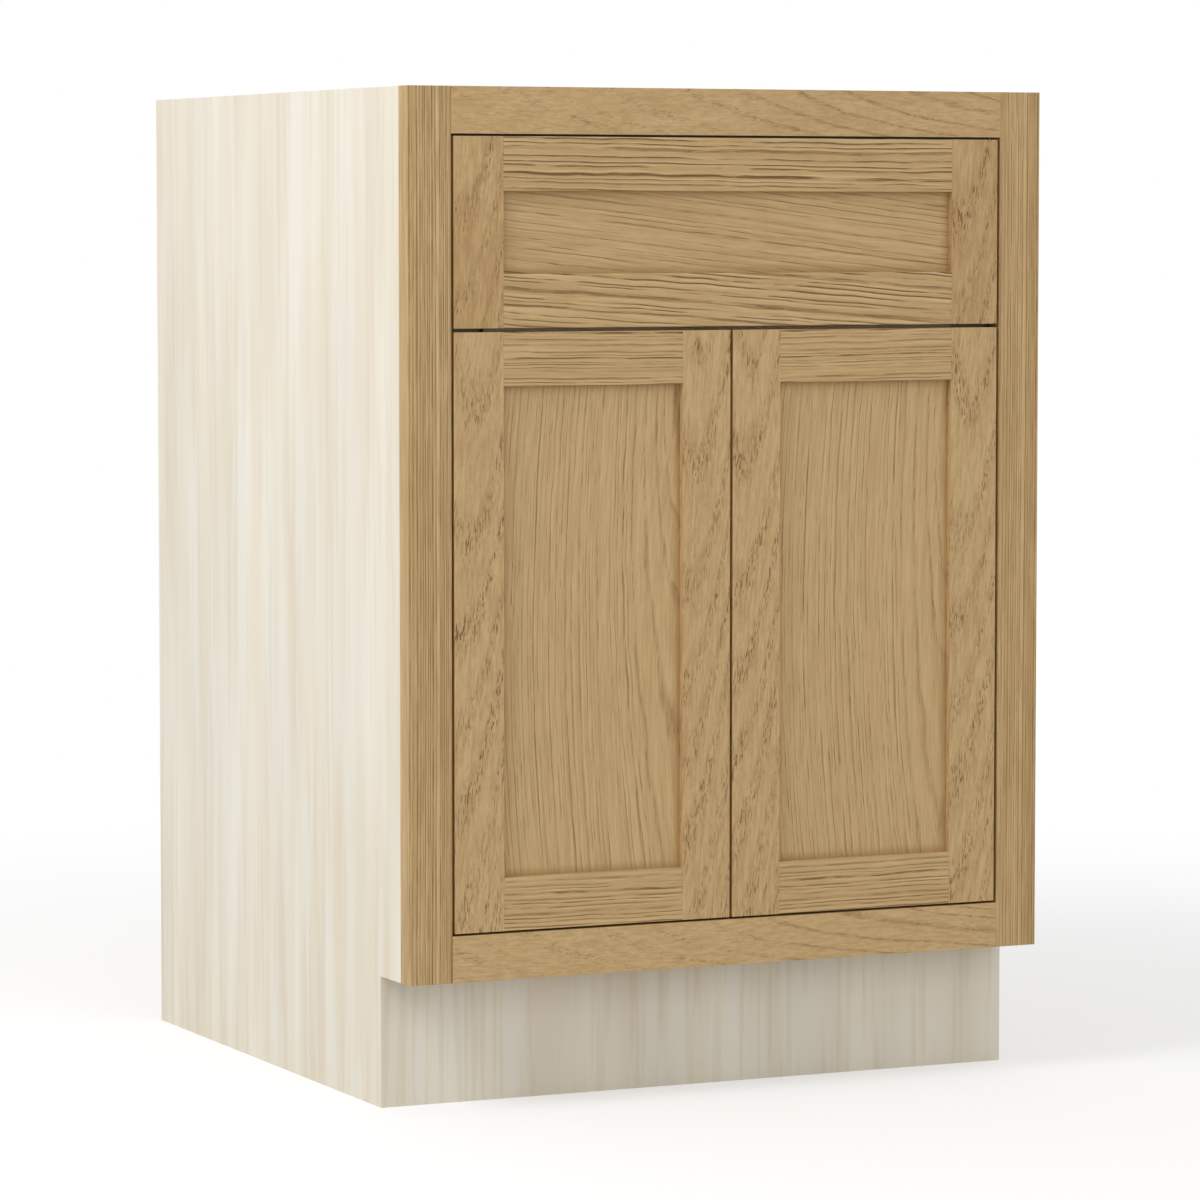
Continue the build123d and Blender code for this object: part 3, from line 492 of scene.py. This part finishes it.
def dress_oak():
    """The face frame, the drawer front and the doors."""
    for node, aside, line in (("left_frame_stile", 231.6, 0.95), ("right_frame_stile", -260, 0.7)):
        oak(node, "Z", (aside, 6), (0.1, 0.0), ring=2.5, line=line, fleck=0.2, share=0.45, breaks=0.6,
            break_length=60.0, wander=3.0, ripple=0.6, tone=0.9, fibre=0.6, ridge_highlight=0.6, relief=0.25)
    for node, depth, tone in (("frame_top_rail", 84, 0.5), ("frame_bottom_rail", 72, 0.15)):
        oak(node, "X", (35, depth), (1.0, -10.0), ring=9.0, line=0.4, fleck=0.5, share=0.3, breaks=0.7,
            wander=16.0, ripple=2.0, fleck_length=20.0, fleck_width=1.0, tone=tone, ridge_highlight=0.06, fibre=0.4,
            figure=(-20, 90))

    for node, aside in (("left_drawer_front_stile", -18), ("right_drawer_front_stile", -15)):
        oak(node, "Z", (aside, 60), (4.0, 6.0), ring=8.0, line=0.06, fleck=0.85, share=0.6, blush=0.4,
            fleck_length=15.0, fleck_width=0.95, relief=0.3, tone=1.0, fibre=0.5, ridge_highlight=0.1)
    for node, aside, lean in (("drawer_front_top_rail", 140, 1.0), ("drawer_front_bottom_rail", -120, 4.0)):
        oak(node, "X", (aside, 60), (lean, 0.8), ring=4.6, line=1.0, fleck=0.1, share=0.4, breaks=0.95,
            break_length=95.0, wander=12.0, ripple=3.2, relief=1.2, ridge_highlight=0.65)
    oak("drawer_front_panel", "X", (-120, 70), (6.0, 0.6), ring=5.5, line=0.7, fleck=0.45, share=0.22,
        breaks=0.85, break_length=80.0, wander=9.0, ripple=2.2, relief=0.35, tone=0.35, ridge_highlight=0.2,
        fibre=0.45, fleck_width=1.0,
        border=("left_drawer_front_stile", "right_drawer_front_stile",
                "drawer_front_bottom_rail", "drawer_front_top_rail"))

    for side, way, left, right in (("left", 1, "hinge", "meeting"), ("right", -1, "meeting", "hinge")):
        for stile, aside, depth in (("hinge", -15, 62), ("meeting", -18, 58)):
            oak(f"{side}_door_{stile}_stile", "Z", (aside, depth), (4.0, 5.3), ring=7.5, line=0.06,
                fleck=0.85, share=0.6, blush=0.35, fleck_length=15.0, fleck_width=0.95, relief=0.3, tone=0.1,
                fibre=0.45, ridge_highlight=0.12)
        for rail, aside in (("top", 130), ("bottom", -110)):
            oak(f"{side}_door_{rail}_rail", "X", (aside, 60), (0.5 * way, 0.7), ring=3.5, line=0.9, fleck=0.2,
                share=0.5, breaks=0.8, break_length=50.0, wander=6.0, ripple=2.4, relief=0.4, ridge_highlight=0.5)
        oak(f"{side}_door_panel", "Z", (96, 120), (1.2, 1.4), ring=3.0, line=0.5, fleck=0.45, share=0.34,
            bow=-0.22, breaks=0.9, break_length=75.0, wander=14.0, ripple=1.8, relief=0.25,
            fleck_length=22.0, fleck_width=0.9, tone=0.2, ridge_highlight=0.3,
            border=(f"{side}_door_{left}_stile", f"{side}_door_{right}_stile",
                    f"{side}_door_bottom_rail", f"{side}_door_top_rail"))


# Plywood, birch and pale laminate

PLY_MM = 1.8
FEWEST_PLIES = 3
INSIDE_STEP = 0.9  # metres of trunk from one board to the next
GRAIN_TURN = {"X": (0, 90, 0), "Y": (90, 0, 0), "Z": (0, 0, 0)}
VENEER_HEART = (0.31, 0.27, 0.19)
BIRCH_HEART = {"X": (0, 0.05, 0.09), "Y": (0.06, 0, 0.09)}


def ply_edges(tree, node, across, face, fibre):
    """The colour of a plywood board: its face, and the stack of plies where the board is cut. across is the
    axis of its thickness."""
    low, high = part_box(node)
    axis = "XYZ".index(across)
    thickness = high[axis] - low[axis]
    count = max(FEWEST_PLIES, 2 * round(thickness / MM / PLY_MM / 2) + 1)
    where = put(tree, "SeparateXYZ", Vector=object_place(tree)).outputs[across]
    depth = sum_up(tree, "DIVIDE", sum_up(tree, "SUBTRACT", where, low[axis]), thickness / count)
    stack = place(tree, plies, Across=depth, Count=count)
    edge = tint(tree, VENEER_PALE, stack["Crosswise"], PLY_END, strength=0.7)
    edge = tint(tree, edge, stack["Glue"], PLY_GLUE, strength=0.6)
    edge = tint(tree, edge, fibre, PLY_END, strength=0.3)
    return mix(tree, stack["Face"], edge, face)


def laminate(node, narrower, pink, brown, across=None):
    """Pale wood-grain laminate, streaked up and down, on all faces or on those of a plywood board. across is
    the axis of that board's thickness."""
    material, tree, shader = new_finish("laminate_" + node, Specular_IOR_Level=0.35)
    spot = scaled(tree, object_place(tree), (narrower, narrower, narrower))
    streaks = place(tree, soft_streaks, Place=spot)
    colour = tint(tree, LAMINATE_CREAM, streaks["Wide"], LAMINATE_BEIGE, strength=0.6)
    colour = tint(tree, colour, streaks["Hue"], LAMINATE_PINK, strength=pink)
    colour = tint(tree, colour, streaks["Middle"], LAMINATE_GREY, strength=0.4)
    colour = tint(tree, colour, streaks["Narrow"], LAMINATE_BROWN, strength=brown)
    if across:
        colour = ply_edges(tree, node, across, colour, streaks["Narrow"])
    paint(tree, shader, colour)
    roughen(tree, shader, streaks["Narrow"], least=0.42, spread=0.08)
    dress(node, material)


def veneered(node, across, along):
    """A plywood board. across is the axis of its thickness and along that of its face grain."""
    material, tree, shader = new_finish("plywood_" + node, Specular_IOR_Level=0.3)
    trunk_part = INSIDE_STEP * len(bpy.data.materials)
    grain = place(tree, wood_grain, Trunk=object_place(tree, VENEER_HEART, GRAIN_TURN[along]),
                  Part=trunk_part, Ring_Width=11 * MM, Wander=30 * MM, Ripple=2.0 * MM,
                  Fleck_Length=12 * MM, Fleck_Width=0.8 * MM)
    colour = mix(tree, grain["Tone"], VENEER_PALE, VENEER_DEEP)
    colour = tint(tree, colour, grain["Lines"], VENEER_LINE, strength=0.45)
    colour = tint(tree, colour, grain["Flecks"], PLY_END, strength=0.12)
    paint(tree, shader, ply_edges(tree, node, across, colour, grain["Fibre"]))
    roughen(tree, shader, grain["Lines"], least=0.4, spread=0.1)
    bump(tree, shader, sum_up(tree, "SUBTRACT", 1.0, grain["Flecks"]), depth=0.05 * MM)
    dress(node, material)


def birch(node, along):
    """A solid birch board of the drawer box. along is the axis of its grain."""
    low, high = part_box(node)
    heart = (low + high) / 2 + Vector(BIRCH_HEART[along])
    trunk_part = INSIDE_STEP * len(bpy.data.materials)
    material, tree, shader = new_finish("birch_" + node, Specular_IOR_Level=0.3)
    grain = place(tree, wood_grain, Trunk=object_place(tree, heart, GRAIN_TURN[along]), Part=trunk_part,
                  Ring_Width=6 * MM, Wander=10 * MM, Ripple=1.0 * MM, Fleck_Length=8 * MM,
                  Fleck_Width=0.6 * MM)
    colour = mix(tree, grain["Tone"], BIRCH_PALE, BIRCH_DEEP)
    colour = tint(tree, colour, grain["Lines"], BIRCH_LINE, strength=0.42)
    colour = tint(tree, colour, grain["Flecks"], BIRCH_LINE, strength=0.2)
    colour = tint(tree, colour, faces_along(tree, along), BIRCH_END, strength=0.6)
    paint(tree, shader, colour)
    roughen(tree, shader, grain["Lines"], least=0.38, spread=0.1)
    bump(tree, shader, sum_up(tree, "SUBTRACT", 1.0, grain["Flecks"]), depth=0.04 * MM)
    dress(node, material)


def dress_inside():
    """The case's boards and the drawer box."""
    laminate("left_side_panel", narrower=0.9, pink=0.45, brown=0.14, across="X")
    laminate("right_side_panel", narrower=0.9, pink=0.45, brown=0.14, across="X")
    laminate("toe_kick_cover", narrower=1.1, pink=0.15, brown=0.2)
    for node, across, along in (
            ("deck_panel", "Z", "X"), ("back_panel", "Y", "Z"), ("hanging_rail", "Y", "X"),
            ("rear_base_rail", "Y", "X"), ("toe_kick_board", "Y", "X"), ("corner_braces", "Z", "X"),
            ("mid_rail", "Y", "X"), ("shelf", "Z", "X"), ("drawer_bottom", "Z", "X")):
        veneered(node, across, along)
    for node, along in (("left_drawer_side", "Y"), ("right_drawer_side", "Y"), ("drawer_box_front", "X"),
                        ("drawer_box_back", "X")):
        birch(node, along)


# Metal, plastic and bumpers

# Patches and lines to the metre, along X, Y and Z
STEEL_CLOUDS = (120, 120, 120)
STEEL_LINES = (2500, 90, 2500)
PLASTIC_GRAIN = (1800, 1800, 1800)
BUMPER_CLOUDS = (400, 400, 400)
CLOUD_LEVELS = (0.3, 0.7)


def plated(name, bright, dull, rough):
    """Plated steel, with faint drawn lines along Y and cloudy patches."""
    material, tree, shader = new_finish(name, Metallic=1.0)
    spot = object_place(tree)
    cloud = noise(tree, scaled(tree, spot, STEEL_CLOUDS), detail=3.0).outputs[0]
    drawn = noise(tree, scaled(tree, spot, STEEL_LINES), detail=1.0).outputs[0]
    paint(tree, shader, mix(tree, between(tree, cloud, *CLOUD_LEVELS), bright, dull))
    roughen(tree, shader, drawn, least=rough, spread=0.18)
    bump(tree, shader, drawn, depth=0.01 * MM)
    return material


def moulded():
    """Grey moulded plastic with a fine grain."""
    material, tree, shader = new_finish("grey_plastic", Specular_IOR_Level=0.4)
    speckle = noise(tree, scaled(tree, object_place(tree), PLASTIC_GRAIN)).outputs[0]
    paint(tree, shader, mix(tree, speckle, PLASTIC_PALE, PLASTIC_DEEP))
    roughen(tree, shader, speckle, least=0.4, spread=0.12)
    bump(tree, shader, speckle, depth=0.03 * MM)
    return material


def soft_clear():
    """The soft clear plastic of a door bumper."""
    material, tree, shader = new_finish("clear_bumper", Transmission_Weight=0.6, IOR=1.45)
    cloud = noise(tree, scaled(tree, object_place(tree), BUMPER_CLOUDS)).outputs[0]
    paint(tree, shader, mix(tree, cloud, BUMPER_PALE, BUMPER_DEEP))
    roughen(tree, shader, cloud, least=0.2, spread=0.15)
    return material


zinc = plated("zinc_plate", ZINC_BRIGHT, ZINC_DULL, rough=0.22)
nickel = plated("nickel_plate", NICKEL_BRIGHT, NICKEL_DULL, rough=0.16)
grey_plastic = moulded()
clear_plastic = soft_clear()


def dress_hardware():
    """Runners and hinges."""
    for node in ("runner_rear_brackets", "drawer_locking_clips"):
        dress(node, grey_plastic)
    for side in ("left", "right"):
        for piece in ("runner_channel", "runner_middle", "drawer_runner"):
            dress(f"{side}_{piece}", zinc)
        for piece in ("hinge_plates", "hinge_arms", "hinge_cups", "hinge_pins"):
            dress(f"{side}_{piece}", nickel)


# Screws, shelf pins and bumpers, round where the CAD ones have few sides, and a strip that puts the gap above
# the drawer in shade

Y, Z = 1, 2
ROUND_SIDES = 24
SMOOTH_ANGLE = radians(35)
RIM_ANGLE = 1.0
JOIN_DISTANCE = 0.001 * MM
WELD_DISTANCE = 0.002 * MM
EASE_SEGMENTS = 2
EASE_ANGLE = radians(40)
EASE_WIDTH = 0.2 * MM

SHANK_RADIUS = 1.6 * MM
PAN_HEAD = 1.8 * MM
PAN_PROFILE = ((1.0, 1.0), (1.0, 0.7), (0.92, 0.3), (0.72, 0.0))  # shares of its radius and height
SUNK_HEAD = 1.5 * MM
SUNK_RIM = 0.1 * MM
RECESS_ARM = 1.4 * MM
RECESS_HALF = 0.38 * MM
RECESS_DEPTH = 0.9 * MM
BUMPER_PROFILE = ((0, 0), (1, 0), (1, 0.35), (0.85, 0.75), (0.5, 0.95), (0, 1))
PIN_EASE = 0.4 * MM
PIN_PAD_LENGTH = 11.0 * MM
PIN_PAD_THICKNESS = 2.2 * MM
PIN_PAD_EASE = 0.5 * MM
STRIP_THICKNESS = 2.0 * MM
STRIP_LAP = 6.0 * MM
STRIP_CLEARANCE = 0.2 * MM
STRIP_EASE = 0.3 * MM


def loose_solids(node):
    """The low and high corners of each separate solid of a CAD node."""
    shape = bmesh.new()
    shape.from_mesh(cad_nodes[node].data)
    bmesh.ops.remove_doubles(shape, verts=shape.verts, dist=WELD_DISTANCE)
    corners = []
    for start in shape.verts:
        if start.tag:
            continue
        start.tag = True
        solid = [start]
        for vert in solid:
            for edge in vert.link_edges:
                other = edge.other_vert(vert)
                if not other.tag:
                    other.tag = True
                    solid.append(other)
        places = [vert.co.copy() for vert in solid]
        corners.append((Vector(map(min, zip(*places))), Vector(map(max, zip(*places)))))
    shape.free()
    return corners


def round_edges(shape, edges, width):
    """Rounds some edges of a bmesh."""
    bmesh.ops.bevel(shape, geom=edges, offset=width, affect="EDGES", segments=EASE_SEGMENTS, profile=0.5,
                    material=-1)


def turned(profile):
    """A bmesh turned round Z from the (radius, height) points of half its outline."""
    shape = bmesh.new()
    points = [shape.verts.new((radius, 0, height)) for radius, height in profile]
    edges = [shape.edges.new(pair) for pair in zip(points, points[1:])]
    bmesh.ops.spin(shape, geom=points + edges, axis=(0, 0, 1), cent=(0, 0, 0), angle=2 * pi,
                   steps=ROUND_SIDES, use_merge=True)
    bmesh.ops.remove_doubles(shape, verts=shape.verts, dist=JOIN_DISTANCE)
    return shape


def cross_recess(shape):
    """Closes the flat top of a turned screw with a cross-shaped recess for the driver."""
    rim = [edge for edge in shape.edges if edge.is_boundary]
    quarter = [(RECESS_ARM, -RECESS_HALF), (RECESS_ARM, RECESS_HALF), (RECESS_HALF, RECESS_HALF)]
    cross = []
    for step in range(4):
        turn = Matrix.Rotation(step * pi / 2, 3, "Z")
        cross += [shape.verts.new(turn @ Vector((x, y, 0))) for x, y in quarter]
    edges = [shape.edges.new((cross[index - 1], cross[index])) for index in range(len(cross))]
    bmesh.ops.bridge_loops(shape, edges=rim + edges)
    walls = bmesh.ops.extrude_edge_only(shape, edges=edges)["geom"]
    floor = [item for item in walls if isinstance(item, bmesh.types.BMVert)]
    bmesh.ops.translate(shape, vec=(0, 0, -RECESS_DEPTH), verts=floor)
    bmesh.ops.contextual_create(shape, geom=floor)


def screw(length, head_radius, sunk):
    """A screw along Z, its head's top at the origin: a pan head, or one sunk flush in a countersink."""
    shank = [(0, -length), (SHANK_RADIUS, -length + SHANK_RADIUS)]
    if sunk:
        head = [(SHANK_RADIUS, -SUNK_HEAD), (head_radius, -SUNK_RIM), (head_radius - SUNK_RIM, 0)]
    else:
        head = [(SHANK_RADIUS, -PAN_HEAD)]
        head += [(radius * head_radius, -height * PAN_HEAD) for radius, height in PAN_PROFILE]
    shape = turned(shank + head)
    cross_recess(shape)
    return shape


def bumper(radius, height):
    """A round bumper with a low dome, standing on the origin."""
    return turned([(out * radius, up * height) for out, up in BUMPER_PROFILE])


def shelf_pin(length, radius, width):
    """A shelf pin along Z: a round peg, with a flat pad along its upper end that carries the shelf. X is
    up."""
    shape = bmesh.new()
    bmesh.ops.create_cone(shape, cap_ends=True, segments=ROUND_SIDES, radius1=radius, radius2=radius,
                          depth=length, matrix=Matrix.Translation((0, 0, length / 2)))
    round_edges(shape, [edge for edge in shape.edges if edge.calc_face_angle(0) > RIM_ANGLE], PIN_EASE)
    size = Matrix.Diagonal((PIN_PAD_THICKNESS, width, PIN_PAD_LENGTH, 1))
    middle = Matrix.Translation((radius - PIN_PAD_THICKNESS / 2, 0, length - PIN_PAD_LENGTH / 2))
    pad = bmesh.ops.create_cube(shape, size=1, matrix=middle @ size)["verts"]
    round_edges(shape, list({edge for vert in pad for edge in vert.link_edges}), PIN_PAD_EASE)
    return shape


def new_piece(name, shape, body, material):
    """Makes an object of a finished bmesh, which rides on a body."""
    mesh = bpy.data.meshes.new(name)
    shape.to_mesh(mesh)
    shape.free()
    mesh.materials.append(material)
    piece = bpy.data.objects.new(name, mesh)
    bpy.context.collection.objects.link(piece)
    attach(piece, body)
    return piece


def set_out(node, body, material, make):
    """Puts a finished piece in the place of a few-sided CAD node. make gives the bmesh for one of the node's
    solids and the matrix that places it."""
    whole = bmesh.new()
    for low, high in loose_solids(node):
        shape, where = make(low, high)
        bmesh.ops.transform(shape, matrix=where, verts=shape.verts)
        bmesh.ops.recalc_face_normals(shape, faces=shape.faces)
        for edge in shape.edges:
            edge.smooth = edge.calc_face_angle(0) < SMOOTH_ANGLE
        for face in shape.faces:
            face.smooth = True
        one = bpy.data.meshes.new(node)
        shape.to_mesh(one)
        shape.free()
        whole.from_mesh(one)
        bpy.data.meshes.remove(one)
    piece = new_piece("round_" + node, whole, body, material)
    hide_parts(node)


def facing(spot, outward):
    """The matrix that stands a piece on a spot, with its Z outward."""
    return Matrix.Translation(spot) @ Vector(outward).to_track_quat("Z", "X").to_matrix().to_4x4()


def screw_facing(way):
    """Makes pan-headed screws whose heads face along Y, back (1) or to the front (-1), or sunk ones that
    face up."""
    def make(low, high):
        spans = high - low
        sunk = spans.z > spans.y
        axis, sign = (Z, 1) if sunk else (Y, way)
        top = (low + high) / 2
        top[axis] = high[axis] if sign > 0 else low[axis]
        outward = [0, 0, 0]
        outward[axis] = sign
        return screw(spans[axis], spans.x / 2, sunk), facing(top, outward)
    return make


def bumper_behind(low, high):
    """A bumper on the back of a door."""
    foot = (low + high) / 2
    foot.y = low.y
    return bumper((high.x - low.x) / 2, high.y - low.y), facing(foot, (0, 1, 0))


def pin_inwards(low, high):
    """A shelf pin that points into the case, its pad upwards."""
    foot = (low + high) / 2
    way = 1 if foot.x < 0 else -1
    foot.x = low.x if way > 0 else high.x
    stand = Matrix(((0, 0, way), (0, -way, 0), (1, 0, 0))).to_4x4()
    pin = shelf_pin(high.x - low.x, (high.z - low.z) / 2, high.y - low.y)
    return pin, Matrix.Translation(foot) @ stand


def set_out_fasteners():
    """All screws, shelf pins and bumpers."""
    set_out("runner_screws", "case", zinc, screw_facing(-1))
    set_out("drawer_front_screws", "drawer", zinc, screw_facing(1))
    set_out("hinge_plate_screws", "case", nickel, screw_facing(1))
    set_out("shelf_pins", "case", nickel, pin_inwards)
    for side in ("left", "right"):
        set_out(f"{side}_cup_screws", f"{side}_door", nickel, screw_facing(1))
        set_out(f"{side}_door_bumper", f"{side}_door", clear_plastic, bumper_behind)


def add_gap_shade_strip():
    """A thin strip along the back of the frame's top rail, which closes the gap above the drawer so that the
    gap shows dark, as a line of shade.
    """
    rail_low, rail_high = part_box("frame_top_rail")
    drawer_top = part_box("left_drawer_front_stile")[1].z
    low = Vector((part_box("left_frame_stile")[1].x, rail_high.y, drawer_top + STRIP_CLEARANCE))
    high = Vector((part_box("right_frame_stile")[0].x, rail_high.y + STRIP_THICKNESS, rail_low.z + STRIP_LAP))
    shape = bmesh.new()
    bmesh.ops.create_cube(shape, size=1, matrix=Matrix.Translation((low + high) / 2) @
                          Matrix.Diagonal((*(high - low), 1)))
    round_edges(shape, shape.edges[:], STRIP_EASE)
    new_piece("gap_shade_strip", shape, "case", grey_plastic)


def ease_edges():
    """Joins each CAD mesh's loose triangles and takes the sharpness off its edges."""
    for node in cad_nodes.values():
        weld = node.modifiers.new("weld", "WELD")
        weld.merge_threshold = WELD_DISTANCE
        ease = node.modifiers.new("eased_edges", "BEVEL")
        ease.width = EASE_WIDTH
        ease.segments = EASE_SEGMENTS
        ease.limit_method = "ANGLE"
        ease.angle_limit = EASE_ANGLE


# Studio, in metres and degrees; the lens and its sensor in mm

CAMERA_PLACE = (-2.0117, -4.3490, 0.7640)
CAMERA_TURN = 24.995
CAMERA_DIP = 4.181
CAMERA_LENS = 156.2
CAMERA_SENSOR = 36
CAMERA_REACH = 50
SKY_LEVEL = 0.66
FLOOR_REACH = 6.0
FLOOR_FADE = (0.7, 1.9)
FLOOR_GLOW = 0.42


def set_camera():
    """The photograph's viewpoint."""
    data = bpy.data.cameras.new("camera")
    data.lens = CAMERA_LENS
    data.sensor_width = CAMERA_SENSOR
    data.clip_end = CAMERA_REACH
    camera = bpy.data.objects.new("camera", data)
    camera.location = CAMERA_PLACE
    camera.rotation_euler = (radians(90 - CAMERA_DIP), 0, radians(-CAMERA_TURN))
    bpy.context.collection.objects.link(camera)
    bpy.context.scene.camera = camera


def seen_directly(tree):
    """1 for rays from the camera, and for what metal and glass show."""
    path = put(tree, "LightPath").outputs
    direct = sum_up(tree, "MAXIMUM", path["Is Camera Ray"], path["Is Glossy Ray"])
    return sum_up(tree, "MAXIMUM", direct, path["Is Transmission Ray"])


def blend(tree, share, first, second, output):
    """Sends an output the first shader where share is 0, the second where it is 1."""
    node = put(tree, "MixShader", Fac=share)
    tree.links.new(first.outputs[0], node.inputs[1])
    tree.links.new(second.outputs[0], node.inputs[2])
    tree.links.new(node.outputs[0], tree.nodes[output].inputs["Surface"])


def set_world():
    """A white backdrop, and plain light from all round."""
    world = bpy.data.worlds.new("studio")
    world.use_nodes = True
    bpy.context.scene.world = world
    tree = world.node_tree
    light = tree.nodes["Background"]
    light.inputs["Color"].default_value = WHITE
    light.inputs["Strength"].default_value = SKY_LEVEL
    white = put(tree, "Background", Color=WHITE, Strength=1.0)
    blend(tree, seen_directly(tree), light, white, "World Output")


def set_lamp(name, spot, aim, size, power):
    """A large soft lamp that faces a point."""
    data = bpy.data.lights.new(name, "AREA")
    data.size = size
    data.energy = power
    lamp = bpy.data.objects.new(name, data)
    lamp.location = spot
    lamp.rotation_euler = (Vector(aim) - Vector(spot)).to_track_quat("-Z", "Y").to_euler()
    bpy.context.collection.objects.link(lamp)


def set_floor():
    """A pale floor that takes the shadow and fades into the white backdrop."""
    shape = bmesh.new()
    bmesh.ops.create_grid(shape, x_segments=1, y_segments=1, size=FLOOR_REACH)
    mesh = bpy.data.meshes.new("floor")
    shape.to_mesh(mesh)
    shape.free()
    floor = bpy.data.objects.new("floor", mesh)
    bpy.context.collection.objects.link(floor)
    material, tree, shader = new_finish("pale_floor", Roughness=0.9, Specular_IOR_Level=0.1,
                                        Emission_Color=WHITE)
    seen = seen_directly(tree)
    paint(tree, shader, mix(tree, seen, FLOOR_LIT, FLOOR_SEEN))
    feed(tree, sum_up(tree, "MULTIPLY", seen, FLOOR_GLOW), shader.inputs["Emission Strength"])
    distance = put(tree, "VectorMath", operation="LENGTH")
    feed(tree, put(tree, "TexCoord").outputs["Object"], distance.inputs[0])
    far = between(tree, distance.outputs["Value"], *FLOOR_FADE)
    white = put(tree, "Emission", Color=WHITE, Strength=1.0)
    blend(tree, sum_up(tree, "MULTIPLY", far, seen), shader, white, "Material Output")
    mesh.materials.append(material)


dress_oak()
dress_inside()
dress_hardware()
set_out_fasteners()
# A strip behind the gap above the drawer, which puts that gap in shade
add_gap_shade_strip()
ease_edges()

set_camera()
set_world()
set_lamp("key_lamp", spot=(-2.5, -0.8, 2.4), aim=(0, 0, 0.7), size=1.5, power=46)
set_lamp("front_lamp", spot=(0.6, -4.8, 1.9), aim=(0, 0, 0.45), size=2.2, power=24)
set_floor()
bpy.context.scene.view_settings.view_transform = "Standard"
